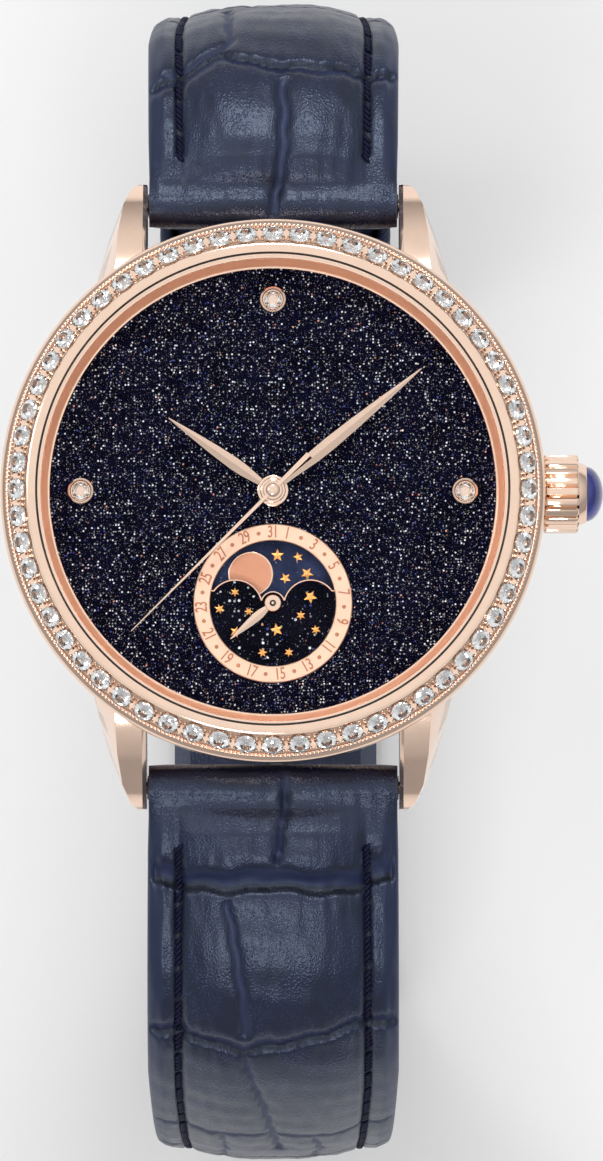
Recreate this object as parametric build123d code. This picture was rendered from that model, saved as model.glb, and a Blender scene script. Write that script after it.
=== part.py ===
from build123d import *
from math import atan2, ceil, cos, degrees, hypot, radians, sin
import os

# A wristwatch with three hands, a date sub-dial and a moon phase window.
# Millimetres. +X points to 3 o'clock, +Y to 12 o'clock and +Z out of the dial.
# The outer face of the case back lies on z = 0, and the hands turn about x = y = 0.

# Clearances
running_gap = 0.05
level_gap = 0.10
wheel_gap = 0.15
overrun = 0.50

# Case and bezel
case_radius = 16.80
case_foot_inset = 0.80
case_foot_rise = 0.80
case_wall = 2.45
bezel_overhang = 0.35
bezel_width = 2.31
bezel_foot_height = 0.80
bezel_rim_width = 0.50
bezel_rim_rise = 0.36
bezel_height = 2.40
bezel_band_width = 0.60
bezel_slope_top_drop = 0.25
stone_count = 60
stone_radius = 0.64
stone_table_radius = 0.37
stone_crown = 0.20
stone_depth = 0.50
stone_ring_inset = 1.11
stone_lift = 0.13
stone_sides = 6
channel_half_width = 0.52
channel_floor_half_width = 0.12
channel_depth = 0.50

# Lugs, as sections from the case out to the tip
lug_gap = 16.00
lug_root_inset = 5.30
lug_reach = 3.05
lug_width = 3.60
lug_height = 7.00
lug_chamfer = 0.25
lug_shoulder_share = 0.55
# Each row: way along, outer foot, outer top, foot level, top level
lug_shares = (
    (0.000, 1.000, 0.569, 0.130, 1.000),
    (0.323, 0.819, 0.542, 0.070, 0.964),
    (0.600, 0.639, 0.500, 0.030, 0.850),
    (0.826, 0.444, 0.417, 0.020, 0.664),
    (0.958, 0.292, 0.278, 0.060, 0.471),
    (1.000, 0.172, 0.158, 0.130, 0.386),
)

# Crystal, ring under it and dial
crystal_thickness = 1.00
crystal_bevel = 0.20
crystal_lift = 1.85
gasket_width = 0.24
rehaut_width = 0.79
rehaut_step_height = 0.55
rehaut_step_width = 0.25
rehaut_land = 0.40
dial_gap = 0.10
dial_thickness = 0.50
dial_bore_gap = 0.15
bezel_seat_lift = 0.40

# Hour markers
marker_inset = 1.95
marker_radius = 0.83
marker_height = 0.45
marker_wall = 0.16
marker_stone_radius = 0.60
marker_stone_table_radius = 0.34
marker_stone_crown = 0.16
marker_stone_depth = 0.32
marker_angles = (90.0, 0.0, 180.0)

# Date sub-dial and moon window
subdial_offset_share = 0.5481
mask_radius_share = 0.3070
date_ring_outer_share = 0.3876
date_ring_height = 0.15
mask_thickness = 0.35
hump_radius_share = 0.4242
hump_spread_share = 0.5960
hump_drop_share = 0.0505
mask_bump_share = 0.1843
moon_orbit_share = 0.5926
moon_radius_share = 0.3611
moon_angle = 126.8
moon_relief = 0.05
moon_disc_lap = 0.29
moon_disc_teeth = 59
moon_disc_thickness = 0.15
moon_tube_radius = 0.45
date_star_radius_share = 0.2326
date_star_teeth = 31
star_tooth_depth = 0.30
date_arbor_radius = 0.20

# Hands
hour_hand_share = 0.661
hour_hand_angle = 304.9
hour_hand_width = 0.72
hour_hand_thickness = 0.20
hour_collet_width = 0.30
minute_hand_inset = 1.95
minute_hand_angle = 50.6
minute_hand_width = 0.82
minute_hand_thickness = 0.20
minute_collet_radius = 0.80
second_hand_inset = 1.48
second_hand_angle = 225.0
second_hand_width = 0.26
second_hand_thickness = 0.12
second_hand_tail = 3.20
second_collet_radius = 0.45
date_hand_share = 0.8838
date_hand_angle = 229.7
date_hand_width = 0.50
date_hand_thickness = 0.10
date_collet_radius = 0.52
date_hand_lift = 0.35
hand_root_share = 0.35
hand_widest_share = 0.36
hand_tip_share = 0.16
hand_ridge_share = 0.14

# Case back
back_flange = 1.00
back_bevel = 0.20
back_spigot_height = 0.30
back_spigot_width = 2.00
back_glass_rebate = 0.40
back_glass_seat = 0.20
back_slot_count = 6
back_slot_length = 1.60
back_slot_width = 0.90
back_slot_depth = 0.35

# Movement plates
movement_ring_width = 1.45
plate_thickness = 0.80
plate_rim_width = 1.20
bridge_thickness = 0.55
movement_ring_height = 3.60
jewel_radius = 0.45
jewel_bore = 0.17
jewel_thickness = 0.35
jewel_sides = 8
arbor_radius_share = 0.0093
pivot_depth = 0.45

bridge_screw_angles = (20.0, 115.0, 245.0, 322.0, 200.0)

# Rotor
rotor_lift = 0.40
rotor_web = 0.25
rotor_rim = 0.60
rotor_gap = 0.30
rotor_rim_width = 2.30
rotor_hub_radius = 1.90
bearing_radius = 0.95
bearing_flange_radius = 1.30
bearing_flange = 0.30
rotor_angle = 200.0

# Gear train
wheel_thickness = 0.15
pinion_reach = 0.05
tooth_tip_share = 0.75
tooth_root_share = 1.00
tooth_width_share = 0.30
centre_teeth = 48
third_pinion_teeth = 6
third_distance_share = 0.2930
third_angle = 300.0
third_teeth = 45
fourth_pinion_teeth = 6
fourth_teeth = 60
escape_pinion_teeth = 6
escape_distance_share = 0.2984
escapement_angle = 200.0
escape_teeth = 15
escape_radius_share = 0.1008
escape_lean_share = 0.8
escape_tooth_depth = 0.35
pallet_distance_share = 0.1163
pallet_tip_share = 0.93
pallet_post_share = 1.17
pallet_post_radius_share = 0.70
balance_distance_share = 0.1744
barrel_teeth = 60
centre_pinion_teeth = 10
barrel_distance_share = 0.4233
barrel_angle = 70.0
barrel_height = 1.00
barrel_wall = 0.22
barrel_flange = 0.25
barrel_arbor_radius = 0.90
barrel_pivot_radius = 0.45
mainspring_turns = 4
mainspring_strip = 0.12
mainspring_steps = 18
third_lift = 0.65
fourth_pinion_height = 0.30
escape_drop = 0.35
centre_tube_bore_gap = 0.07

# Balance
balance_radius_share = 0.2248
balance_rim_width = 0.45
balance_rim_height = 0.40
balance_lift = 0.90
balance_arm_width = 0.40
balance_arm_height = 0.20
roller_radius = 0.50
roller_thickness = 0.15
impulse_pin_radius = 0.06
impulse_pin_orbit = 0.40
hairspring_turns = 3
hairspring_inner = 0.40
hairspring_outer = 1.80
hairspring_strip = 0.05
hairspring_height = 0.12
hairspring_steps = 20
cock_width = 2.60

# Winding
ratchet_lift = 0.30
ratchet_thickness = 0.25
ratchet_teeth = 36
crown_wheel_teeth = 25
crown_wheel_place_share = 0.4806
crown_wheel_skirt_share = 0.1628
crown_wheel_bore_share = 0.1163
crown_wheel_pillar_share = 0.0698
crown_wheel_contrate_teeth = 18
contrate_height = 0.25
winding_pinion_radius = 0.95
winding_pinion_length = 1.00
winding_pinion_teeth = 14
stem_level = 4.40
stem_radius = 0.35
crown_tube_radius = 0.80
crown_gap = 0.30
crown_radius = 2.475
crown_length = 2.20
crown_flutes = 22
crown_flute_depth = 0.20
crown_rib_share = 0.32
crown_bore = 1.05
crown_collar_radius = 1.975
crown_collar_length = 0.50
cabochon_radius = 1.75
cabochon_height = 1.07
cabochon_step = 15
crown_pull = 1.20
seal_length = 0.50
click_reach_share = 0.3876
click_angle = 150.0
click_radius = 0.55

# Motion works
cannon_teeth = 8
cannon_root_gap = 0.03
cannon_wall = 0.12
minute_wheel_teeth = 24
minute_pinion_teeth = 6
hour_wheel_teeth = 24
hour_tube_wall = 0.23
motion_distance_share = 0.1860
motion_angle = 60.0
calendar_teeth = 48
calendar_angle = 210.0
calendar_post_radius = 0.20
calendar_hub_radius = 0.60
minute_post_radius = 0.17
date_finger_angle = 112.0
moon_finger_angle = 92.0
finger_width = 0.25
finger_bite = 0.12
finger_height = 0.12
jumper_width = 0.20
jumper_foot_radius = 0.50
jumper_length_share = 0.2481
date_jumper_tooth = 30
moon_jumper_tooth = 4

# Screws
screw_head_radius = 0.45
screw_head_height = 0.20
screw_shank_radius = 0.25
screw_length = 1.30
screw_sides = 8
wheel_screw_head_radius = 1.20

# Spring bars and strap
bar_outset = 1.70
bar_level = 2.40
bar_radius = 0.75
bar_tip_radius = 0.40
bar_tip_length = 0.70
strap_side_gap = 0.13
strap_loop_radius = 1.70
strap_recess_gap = 0.35
strap_bore_gap = 0.08
strap_pad_width = 16.10
strap_end_width = 14.00
strap_pad_inner = 1.60
strap_pad_edge = 0.70
strap_pad_crown = 2.50
strap_thin_inner = 1.10
strap_thin_edge = 0.70
strap_thin_crown = 1.30
strap_loop_share = 0.90
strap_loop_edge_share = 0.80
strap_shoulder_share = 0.72
strap_crown_share = 0.42
pad_start = 2.10
strap_heading = 12.0
strap_step = 17.0
stand_level = -49.90
# The 12 o'clock half, which holds the buckle
short_start = 3.83
short_bend_radius = 9.64
short_side_heading = 70.0
short_keeper_heading = 120.0
short_keeper_run = 17.00
short_foot_radius = 7.00
short_end = 2.00
short_thick_length = 12.30
short_thin_length = 40.00
# The 6 o'clock half, with the holes
tail_start = 9.09
tail_bend_radius = 12.00
tail_side_heading = 60.0
tail_foot_heading = 125.0
tail_foot_radius = 14.00
tail_buckle_gap = 2.43
tail_thick_length = 20.00
tail_thin_length = 60.60
tail_tip_length = 5.00
tail_tip_shares = (0.50, 0.86, 0.00, 0.45)
tail_hole_count = 7
tail_hole_spacing = 6.00
tail_hole_radius = 0.90
tail_hole_start = 50.00

# Buckle and keepers
buckle_side_gap = 0.20
buckle_side_width = 1.90
buckle_front_width = 1.80
buckle_length = 8.50
buckle_rear = 1.20
buckle_height = 2.00
buckle_bar_radius = 0.60
buckle_loop_radius = 1.30
buckle_corner_share = 0.9
tongue_width = 1.60
tongue_thickness = 0.85
tongue_slot = 2.40
tongue_slot_reach = 2.40
tongue_barrel_radius = 1.05
tongue_overhang = 0.40
keeper_length = 4.00
keeper_wall = 0.90
keeper_tail_room = 2.60
keeper_gap = 0.15
fixed_keeper_place = 54.50
free_keeper_place = 47.00

# Corners of the bridges, in shares of the movement's radius
barrel_bridge_shares = (
    (-0.620, 0.124),
    (0.083, 0.124),
    (0.212, -0.055),
    (0.296, -0.277),
    (1.000, -0.540),
    (1.000, 1.000),
    (-0.620, 1.000),
)
train_bridge_shares = (
    (0.067, 0.112),
    (-0.093, 0.112),
    (-0.376, -0.025),
    (-0.367, -0.173),
    (-0.263, -0.358),
    (-0.233, -1.000),
    (1.000, -1.000),
    (1.000, -0.565),
    (0.279, -0.296),
    (0.195, -0.070),
)
# Upper half of the pallets' anchor, in shares of its reach
anchor_shares = ((-0.12, 0.25), (0.41, 1.08), (0.55, 1.02), (0.15, 0.12))
# Corners of the click's beak, in shares of its reach and of the click's radius
click_beak_shares = ((-0.57, 0.5), (0, -0.9), (0.6, -1.6), (1.0, -1.9), (0.75, -0.9))

# Radii and reaches that follow the case band's radius
case_foot_radius = case_radius - case_foot_inset
cavity_radius = case_radius - case_wall
bezel_radius = case_radius + bezel_overhang
bezel_bore = bezel_radius - bezel_width
gasket_radius = bezel_bore
stone_ring_radius = bezel_radius - stone_ring_inset
lug_root = case_radius - lug_root_inset
lug_tip = case_radius + lug_reach
bar_reach = case_radius + bar_outset
crystal_radius = gasket_radius - gasket_width
rehaut_opening = gasket_radius - rehaut_width
dial_radius = cavity_radius - dial_gap
marker_ring_radius = rehaut_opening - marker_inset
minute_hand_length = rehaut_opening - minute_hand_inset
hour_hand_length = minute_hand_length * hour_hand_share
second_hand_length = rehaut_opening - second_hand_inset
back_glass_radius = cavity_radius - running_gap - back_spigot_width
movement_radius = cavity_radius - movement_ring_width
rotor_radius = movement_radius - rotor_gap
rim_screw_radius = movement_radius - plate_rim_width / 2

# Sizes that follow the movement's radius
arbor_radius = movement_radius * arbor_radius_share
third_distance = movement_radius * third_distance_share
escape_distance = movement_radius * escape_distance_share
escape_radius = movement_radius * escape_radius_share
pallet_distance = movement_radius * pallet_distance_share
balance_distance = movement_radius * balance_distance_share
balance_radius = movement_radius * balance_radius_share
barrel_distance = movement_radius * barrel_distance_share
crown_wheel_place = movement_radius * crown_wheel_place_share
crown_wheel_skirt = movement_radius * crown_wheel_skirt_share
crown_wheel_skirt_bore = movement_radius * crown_wheel_bore_share
crown_wheel_pillar = movement_radius * crown_wheel_pillar_share
click_reach = movement_radius * click_reach_share
motion_distance = movement_radius * motion_distance_share
jumper_length = movement_radius * jumper_length_share
date_star_radius = movement_radius * date_star_radius_share
subdial_offset = movement_radius * subdial_offset_share
date_ring_outer = movement_radius * date_ring_outer_share
mask_radius = movement_radius * mask_radius_share
date_ring_inner = mask_radius
hump_radius = mask_radius * hump_radius_share
hump_spread = mask_radius * hump_spread_share
hump_drop = mask_radius * hump_drop_share
mask_bump_radius = mask_radius * mask_bump_share
moon_orbit = mask_radius * moon_orbit_share
moon_radius = mask_radius * moon_radius_share
moon_disc_radius = mask_radius + moon_disc_lap
date_hand_length = mask_radius * date_hand_share

# Levels, from the case back up to the crystal
case_bottom = back_flange
rotor_level = back_flange + rotor_lift
ratchet_level = rotor_level + rotor_web + ratchet_lift
bridge_level = ratchet_level + ratchet_thickness + level_gap
bridge_top = bridge_level + bridge_thickness
fourth_level = bridge_top + wheel_gap
barrel_level = fourth_level + wheel_thickness + wheel_gap
barrel_top = barrel_level + barrel_height
third_level = fourth_level + third_lift
centre_level = barrel_top + wheel_gap
escape_level = centre_level - escape_drop
plate_level = centre_level + wheel_thickness + level_gap
plate_top = plate_level + plate_thickness
minute_level = plate_top + level_gap
hour_level = minute_level + 2 * wheel_thickness
moon_level = hour_level + wheel_thickness + level_gap
dial_level = moon_level + moon_disc_thickness + level_gap
dial_top = dial_level + dial_thickness
date_hand_level = dial_top + date_hand_lift
hour_hand_level = date_hand_level + date_hand_thickness + level_gap
minute_hand_level = hour_hand_level + hour_hand_thickness + wheel_gap
second_hand_level = minute_hand_level + minute_hand_thickness + wheel_gap
case_top = dial_top + bezel_seat_lift
crystal_level = dial_top + crystal_lift
bezel_top = case_top + bezel_height
balance_level = bridge_level + balance_lift
hairspring_level = bridge_top + level_gap

# Modules of the gear pairs, from their centre distances
centre_module = 2 * third_distance / (centre_teeth + third_pinion_teeth)
third_module = 2 * third_distance / (third_teeth + fourth_pinion_teeth)
fourth_module = 2 * escape_distance / (fourth_teeth + escape_pinion_teeth)
barrel_module = 2 * barrel_distance / (barrel_teeth + centre_pinion_teeth)
cannon_module = 2 * motion_distance / (cannon_teeth + minute_wheel_teeth)
hour_module = 2 * motion_distance / (minute_pinion_teeth + hour_wheel_teeth)
calendar_distance = hour_module * (hour_wheel_teeth + calendar_teeth) / 2

# Tubes that turn inside each other, from the cannon pinion's teeth
cannon_radius = cannon_module * (cannon_teeth / 2 - tooth_root_share) - cannon_root_gap
centre_tube_radius = cannon_radius - cannon_wall
centre_tube_bore = arbor_radius + centre_tube_bore_gap
hour_tube_bore = cannon_radius + running_gap
hour_tube_radius = hour_tube_bore + hour_tube_wall
hour_collet_radius = hour_tube_radius + hour_collet_width
dial_bore = hour_tube_radius + dial_bore_gap


def polar(distance, angle, start=(0, 0)):
    """Point at a distance and an angle in degrees from a start point."""
    return (start[0] + distance * cos(radians(angle)), start[1] + distance * sin(radians(angle)))


# Places of the arbors
third_place = polar(third_distance, third_angle)
escape_place = polar(escape_distance, escapement_angle)
pallet_place = polar(escape_distance + pallet_distance, escapement_angle)
balance_place = polar(escape_distance + pallet_distance + balance_distance, escapement_angle)
barrel_place = polar(barrel_distance, barrel_angle)
motion_place = polar(motion_distance, motion_angle)
calendar_place = polar(calendar_distance, calendar_angle)
subdial_place = (0, -subdial_offset)
crown_wheel_centre = (crown_wheel_place, 0)
winding_pinion_place = crown_wheel_place + crown_wheel_skirt_bore
ratchet_distance = hypot(crown_wheel_place - barrel_place[0], barrel_place[1])
ratchet_module = 2 * ratchet_distance / (ratchet_teeth + crown_wheel_teeth)
click_place = polar(click_reach, click_angle, barrel_place)


# Helpers

def outline(points):
    """Flat face from an outline, facing up whichever way its points run."""
    area = sum(a[0] * b[1] - b[0] * a[1] for a, b in zip(points, points[1:] + points[:1]))
    return Polygon(points if area > 0 else points[::-1], align=None)


def polygon_face(points):
    """Flat face through points in space."""
    return Face(Wire.make_polygon(points, close=True))


def faceted(rings):
    """Solid with flat facets through rings of points, with a flat face or a point at each end."""
    faces = [polygon_face(ring) for ring in (rings[0], rings[-1]) if len(ring) > 1]
    for low, high in zip(rings, rings[1:]):
        count = max(len(low), len(high))
        for index in range(count):
            after = (index + 1) % count
            if len(low) > 1:
                faces.append(polygon_face([low[index], low[after], high[after % len(high)]]))
            if len(high) > 1:
                faces.append(polygon_face([low[index % len(low)], high[after], high[index]]))
    return Solid(Shell(faces))


def ring_points(radius, sides, level):
    """Corners of a regular polygon at a level."""
    return [(*polar(radius, 360 * side / sides), level) for side in range(sides)]


def turned(points):
    """Solid of revolution about Z from an outline of radius and height."""
    return revolve(Plane.XZ * Polygon(points, align=None), Axis.Z)


def disc(radius, height, level, place=(0, 0), bore=0):
    """Round plate standing on a level, with a bore if it has one."""
    face = Circle(radius)
    if bore > 0:
        face = face - Circle(bore)
    return Pos(place[0], place[1], level) * extrude(face, height)


def plate(face, height, level, place=(0, 0), turn=0):
    """Flat piece cut from a face and set at a level, place and turn."""
    return Pos(place[0], place[1], level) * Rot(0, 0, turn) * extrude(face, height)


def rod_x(radius, start, end, y=0, z=0):
    """Round bar along X."""
    middle = (start + end) / 2
    return Pos(middle, y, z) * Rot(0, 90, 0) * Cylinder(radius, end - start)


def gear_face(teeth, module):
    """Outline of a gear with pointed, straight-sided teeth."""
    pitch_radius = module * teeth / 2
    tip = pitch_radius + module * tooth_tip_share
    root = pitch_radius - module * tooth_root_share
    points = []
    for tooth in range(teeth):
        points.append(polar(root, 360 * (tooth - tooth_width_share) / teeth))
        points.append(polar(tip, 360 * tooth / teeth))
        points.append(polar(root, 360 * (tooth + tooth_width_share) / teeth))
    return outline(points)


def star_face(teeth, radius, depth, lean_share=0.5):
    """Outline of a star or ratchet wheel with one point to a tooth."""
    points = []
    for tooth in range(teeth):
        points.append(polar(radius, 360 * tooth / teeth))
        points.append(polar(radius - depth, 360 * (tooth + lean_share) / teeth))
    return outline(points)


def spiral_face(inner, outer, turns, strip, steps):
    """Flat spiral strip from an inner to an outer radius."""
    inside = []
    outside = []
    for step in range(turns * steps + 1):
        angle = 360 * step / steps
        radius = inner + (outer - inner) * step / (turns * steps)
        inside.append(polar(radius, angle))
        outside.append(polar(radius + strip, angle))
    return outline(inside[::-1] + outside)


def toward(start, end):
    """Angle in degrees of the way from one place to another."""
    return degrees(atan2(end[1] - start[1], end[0] - start[0]))


def brilliant(radius, table_radius, crown, depth, sides):
    """Cut stone with its girdle on z = 0 and its point down."""
    girdle = ring_points(radius, sides, 0)
    return faceted([[(0, 0, -depth)], girdle, ring_points(table_radius, sides, crown)])


def leaf_blade(length, start, width, thickness):
    """Faceted leaf blade along +Y, flat below and with a ridge on top."""
    widest = start + (length - start) * hand_widest_share
    stations = ((hand_root_share, start), (1, widest), (hand_tip_share, length))
    rings = []
    for level, spread in ((0, 1), (thickness, hand_ridge_share)):
        right = [(width / 2 * share * spread, reach, level) for share, reach in stations]
        left = [(-x, y, z) for x, y, z in reversed(right)]
        rings.append(right + left)
    return faceted(rings)


def hand(length, width, thickness, collet_radius, bore, angle, level, place=(0, 0)):
    """Leaf hand with its collet, turned clockwise from 12 o'clock."""
    blade = leaf_blade(length, bore, width, thickness)
    blade -= Pos(0, 0, thickness / 2) * Cylinder(bore, thickness + overrun)
    shape = blade + disc(collet_radius, thickness, 0, bore=bore)
    return Pos(place[0], place[1], level) * Rot(0, 0, -angle) * shape


# Case

def lug():
    """The lug between 12 and 3 o'clock: flat inside, a sloping facet outside."""
    sections = []
    for along, foot, top, low, high in lug_shares:
        y = lug_root + (lug_tip - lug_root) * along
        inner = lug_gap / 2
        foot_x = inner + lug_width * foot
        top_x = inner + lug_width * top
        low_z = lug_height * low
        high_z = lug_height * high
        shoulder_z = low_z + (high_z - low_z) * lug_shoulder_share
        sections.append([
            (inner, y, low_z),
            (foot_x, y, low_z),
            (foot_x, y, shoulder_z),
            (top_x, y, high_z),
            (inner + lug_chamfer, y, high_z),
            (inner, y, high_z - lug_chamfer),
        ])
    return faceted(sections)


def case_middle():
    """Case band with its lugs, strap recesses and the hole for the crown tube."""
    band = turned([
        (cavity_radius, case_bottom),
        (case_foot_radius, case_bottom),
        (case_radius, case_bottom + case_foot_rise),
        (case_radius, case_top),
        (gasket_radius, case_top),
        (gasket_radius, dial_top),
        (cavity_radius, dial_top),
    ])
    inside = disc(cavity_radius, lug_height + overrun, 0)
    shoulder = disc(gasket_radius, overrun, dial_top)
    back_room = disc(case_foot_radius + running_gap, case_bottom, 0)
    upper = lug() - inside - shoulder - back_room
    pair = upper + mirror(upper, about=Plane.YZ)
    body = band + pair + mirror(pair, about=Plane.XZ)
    for side in (1, -1):
        recess = strap_loop_radius + strap_recess_gap
        body -= rod_x(recess, -lug_gap / 2, lug_gap / 2, side * bar_reach, bar_level)
        reach = lug_gap / 2 + bar_tip_length + running_gap
        body -= rod_x(bar_tip_radius + running_gap, -reach, reach, side * bar_reach, bar_level)
    body -= rod_x(crown_tube_radius, 0, case_radius + overrun, 0, stem_level)
    return body


def slope_point(along, depth):
    """Point of the bezel's outline, along and below the sloping face that carries the stones."""
    outer = (bezel_radius - bezel_rim_width, case_top + bezel_foot_height + bezel_rim_rise)
    inner = (bezel_bore + bezel_band_width, bezel_top - bezel_slope_top_drop)
    run = Vector(inner[0] - outer[0], inner[1] - outer[1])
    way = run.normalized()
    normal = Vector(way.Y, -way.X)
    middle = stone_middle()
    spot = Vector(middle[0], middle[1]) + way * along - normal * depth
    return (spot.X, spot.Y)


def stone_middle():
    """Radius and level of the middle of the stone channel, on the sloping face."""
    outer = (bezel_radius - bezel_rim_width, case_top + bezel_foot_height + bezel_rim_rise)
    inner = (bezel_bore + bezel_band_width, bezel_top - bezel_slope_top_drop)
    share = (outer[0] - stone_ring_radius) / (outer[0] - inner[0])
    return (stone_ring_radius, outer[1] + (inner[1] - outer[1]) * share)


def bezel():
    """Bezel with a sloping face and a channel for the stones."""
    rim = bezel_radius - bezel_rim_width
    return turned([
        (bezel_bore, case_top),
        (bezel_radius, case_top),
        (bezel_radius, case_top + bezel_foot_height),
        (rim, case_top + bezel_foot_height + bezel_rim_rise),
        slope_point(-channel_half_width, 0),
        slope_point(-channel_floor_half_width, channel_depth),
        slope_point(channel_floor_half_width, channel_depth),
        slope_point(channel_half_width, 0),
        (bezel_bore + bezel_band_width, bezel_top - bezel_slope_top_drop),
        (bezel_bore + bezel_band_width - bezel_slope_top_drop, bezel_top),
        (bezel_bore, bezel_top),
    ])


def bezel_stones():
    """Ring of cut stones in the bezel's channel."""
    outer = slope_point(0, 0)
    lower = slope_point(0, channel_depth)
    tilt = degrees(atan2(outer[0] - lower[0], outer[1] - lower[1]))
    seat = slope_point(0, -stone_lift)
    stone = brilliant(stone_radius, stone_table_radius, stone_crown, stone_depth, stone_sides)
    stone = Pos(seat[0], 0, seat[1]) * Rot(0, tilt, 0) * stone
    return [Rot(0, 0, 90 + 360 * index / stone_count) * stone for index in range(stone_count)]


def crystal():
    """Flat crystal with a bevelled edge."""
    top = crystal_level + crystal_thickness
    return turned([
        (0, crystal_level),
        (crystal_radius, crystal_level),
        (crystal_radius, top - crystal_bevel),
        (crystal_radius - crystal_bevel, top),
        (0, top),
    ])


def crystal_gasket():
    """Ring that seals the crystal in the bezel."""
    height = crystal_thickness - crystal_bevel
    return disc(gasket_radius, height, crystal_level, bore=crystal_radius)


def rehaut_ring():
    """Stepped ring between the dial and the crystal."""
    step = rehaut_opening + rehaut_step_width
    return turned([
        (rehaut_opening, dial_top),
        (gasket_radius, dial_top),
        (gasket_radius, crystal_level),
        (gasket_radius - rehaut_land, crystal_level),
        (step, dial_top + rehaut_step_height + rehaut_step_width),
        (rehaut_opening, dial_top + rehaut_step_height),
    ])


def case_back():
    """Back ring with key slots, a spigot and a seat for the back glass."""
    spigot = cavity_radius - running_gap
    ring = turned([
        (back_glass_radius - back_glass_rebate, 0),
        (case_foot_radius - back_bevel, 0),
        (case_foot_radius, back_bevel),
        (case_foot_radius, back_flange),
        (spigot, back_flange),
        (spigot, back_flange + back_spigot_height),
        (back_glass_radius, back_flange + back_spigot_height),
        (back_glass_radius, back_glass_seat),
        (back_glass_radius - back_glass_rebate, back_glass_seat),
    ])
    for index in range(back_slot_count):
        slot = Pos(case_foot_radius, 0, 0) * Box(2 * back_slot_width, back_slot_length, 2 * back_slot_depth)
        ring -= Rot(0, 0, 360 * index / back_slot_count) * slot
    return ring


def case_back_glass():
    """Stepped glass that lies level with the back ring's outer face."""
    window = back_glass_radius - back_glass_rebate
    return turned([
        (0, 0),
        (window, 0),
        (window, back_glass_seat),
        (back_glass_radius, back_glass_seat),
        (back_glass_radius, back_flange),
        (0, back_flange),
    ])


def spring_bars():
    """Two bars with thinner tips, one at each pair of lugs."""
    bars = []
    for side in (1, -1):
        half = lug_gap / 2 - running_gap
        bar = rod_x(bar_radius, -half, half, side * bar_reach, bar_level)
        tip = lug_gap / 2 + bar_tip_length
        bar += rod_x(bar_tip_radius, -tip, tip, side * bar_reach, bar_level)
        bars.append(bar)
    return bars


def crown_tube():
    """Tube in the case that the stem passes through."""
    start = cavity_radius + running_gap
    end = case_radius + crown_gap / 2
    tube = rod_x(crown_tube_radius, start, end, 0, stem_level)
    return tube - rod_x(stem_radius + running_gap, start - overrun, end + overrun, 0, stem_level)


# Dial side

def dial():
    """Dial plate with its centre hole and the sub-dial opening."""
    face = Circle(dial_radius) - Circle(dial_bore) - Pos(0, -subdial_offset) * Circle(mask_radius)
    return plate(face, dial_thickness, dial_level)


def hour_markers():
    """Round cups that hold the marker stones."""
    cups = []
    for angle in marker_angles:
        place = polar(marker_ring_radius, angle)
        cup = disc(marker_radius, marker_height, dial_top, place)
        inside = marker_radius - marker_wall
        cup -= disc(inside, marker_height, dial_top + marker_height - marker_stone_depth, place)
        cups.append(cup)
    return cups


def marker_stones():
    """Stones in the hour markers."""
    stones = []
    for angle in marker_angles:
        place = polar(marker_ring_radius, angle)
        stone = brilliant(marker_stone_radius, marker_stone_table_radius, marker_stone_crown,
                          marker_stone_depth, stone_sides)
        stones.append(Pos(place[0], place[1], dial_top + marker_height) * stone)
    return stones


def date_ring():
    """Ring that carries the dates, round the moon window."""
    return disc(date_ring_outer, date_ring_height, dial_top, subdial_place, date_ring_inner)


def moon_mask():
    """Plate with two humps that hides the moon as it waxes and wanes."""
    lower = Pos(0, -mask_radius / 2 - hump_drop / 2) * Rectangle(2 * mask_radius, mask_radius - hump_drop)
    face = lower + Circle(mask_bump_radius)
    for side in (1, -1):
        face += Pos(side * hump_spread, -hump_drop) * Circle(hump_radius)
    face = face & Circle(mask_radius)
    face -= Circle(moon_tube_radius + running_gap)
    return plate(face, mask_thickness, dial_top - mask_thickness, subdial_place)


def moon_disc():
    """Disc with 59 teeth and two moons, opposite each other."""
    body = plate(star_face(moon_disc_teeth, moon_disc_radius, star_tooth_depth), moon_disc_thickness, 0)
    for side in (0, 180):
        place = polar(moon_orbit, moon_angle + side)
        body += disc(moon_radius, moon_relief, moon_disc_thickness, place)
    body += disc(moon_tube_radius, dial_top - mask_thickness / 2 - moon_level, 0)
    body -= disc(date_arbor_radius + running_gap, dial_top - moon_level + overrun, -overrun)
    return Pos(0, -subdial_offset, moon_level) * body


def date_star():
    """Star of 31 teeth on the arbor that carries the date hand."""
    star = plate(star_face(date_star_teeth, date_star_radius, star_tooth_depth), wheel_thickness,
                 minute_level, subdial_place)
    foot = plate_level + level_gap
    return star + disc(date_arbor_radius, date_hand_level + date_hand_thickness - foot, foot, subdial_place)


def date_hand():
    """Small leaf hand that points to the date."""
    return hand(date_hand_length, date_hand_width, date_hand_thickness, date_collet_radius,
                date_arbor_radius, date_hand_angle, date_hand_level, subdial_place)


def second_hand():
    """Thin tapered hand with a tail and a round hub."""
    half = second_hand_width / 2
    points = [
        (-half, -second_hand_tail),
        (half, -second_hand_tail),
        (half, 0),
        (half * hand_root_share, second_hand_length),
        (-half * hand_root_share, second_hand_length),
        (-half, 0),
    ]
    shape = extrude(outline(points), second_hand_thickness)
    shape += disc(second_collet_radius, second_hand_thickness, 0)
    shape -= disc(arbor_radius, second_hand_thickness + overrun, -overrun / 2)
    return Pos(0, 0, second_hand_level) * Rot(0, 0, -second_hand_angle) * shape


# Movement plates and bridges

def bridge_face(shares):
    """Outline of a bridge inside the movement's disc, from shares of its radius."""
    corners = [(movement_radius * x, movement_radius * y) for x, y in shares]
    return Circle(movement_radius) & outline(corners)


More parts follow.
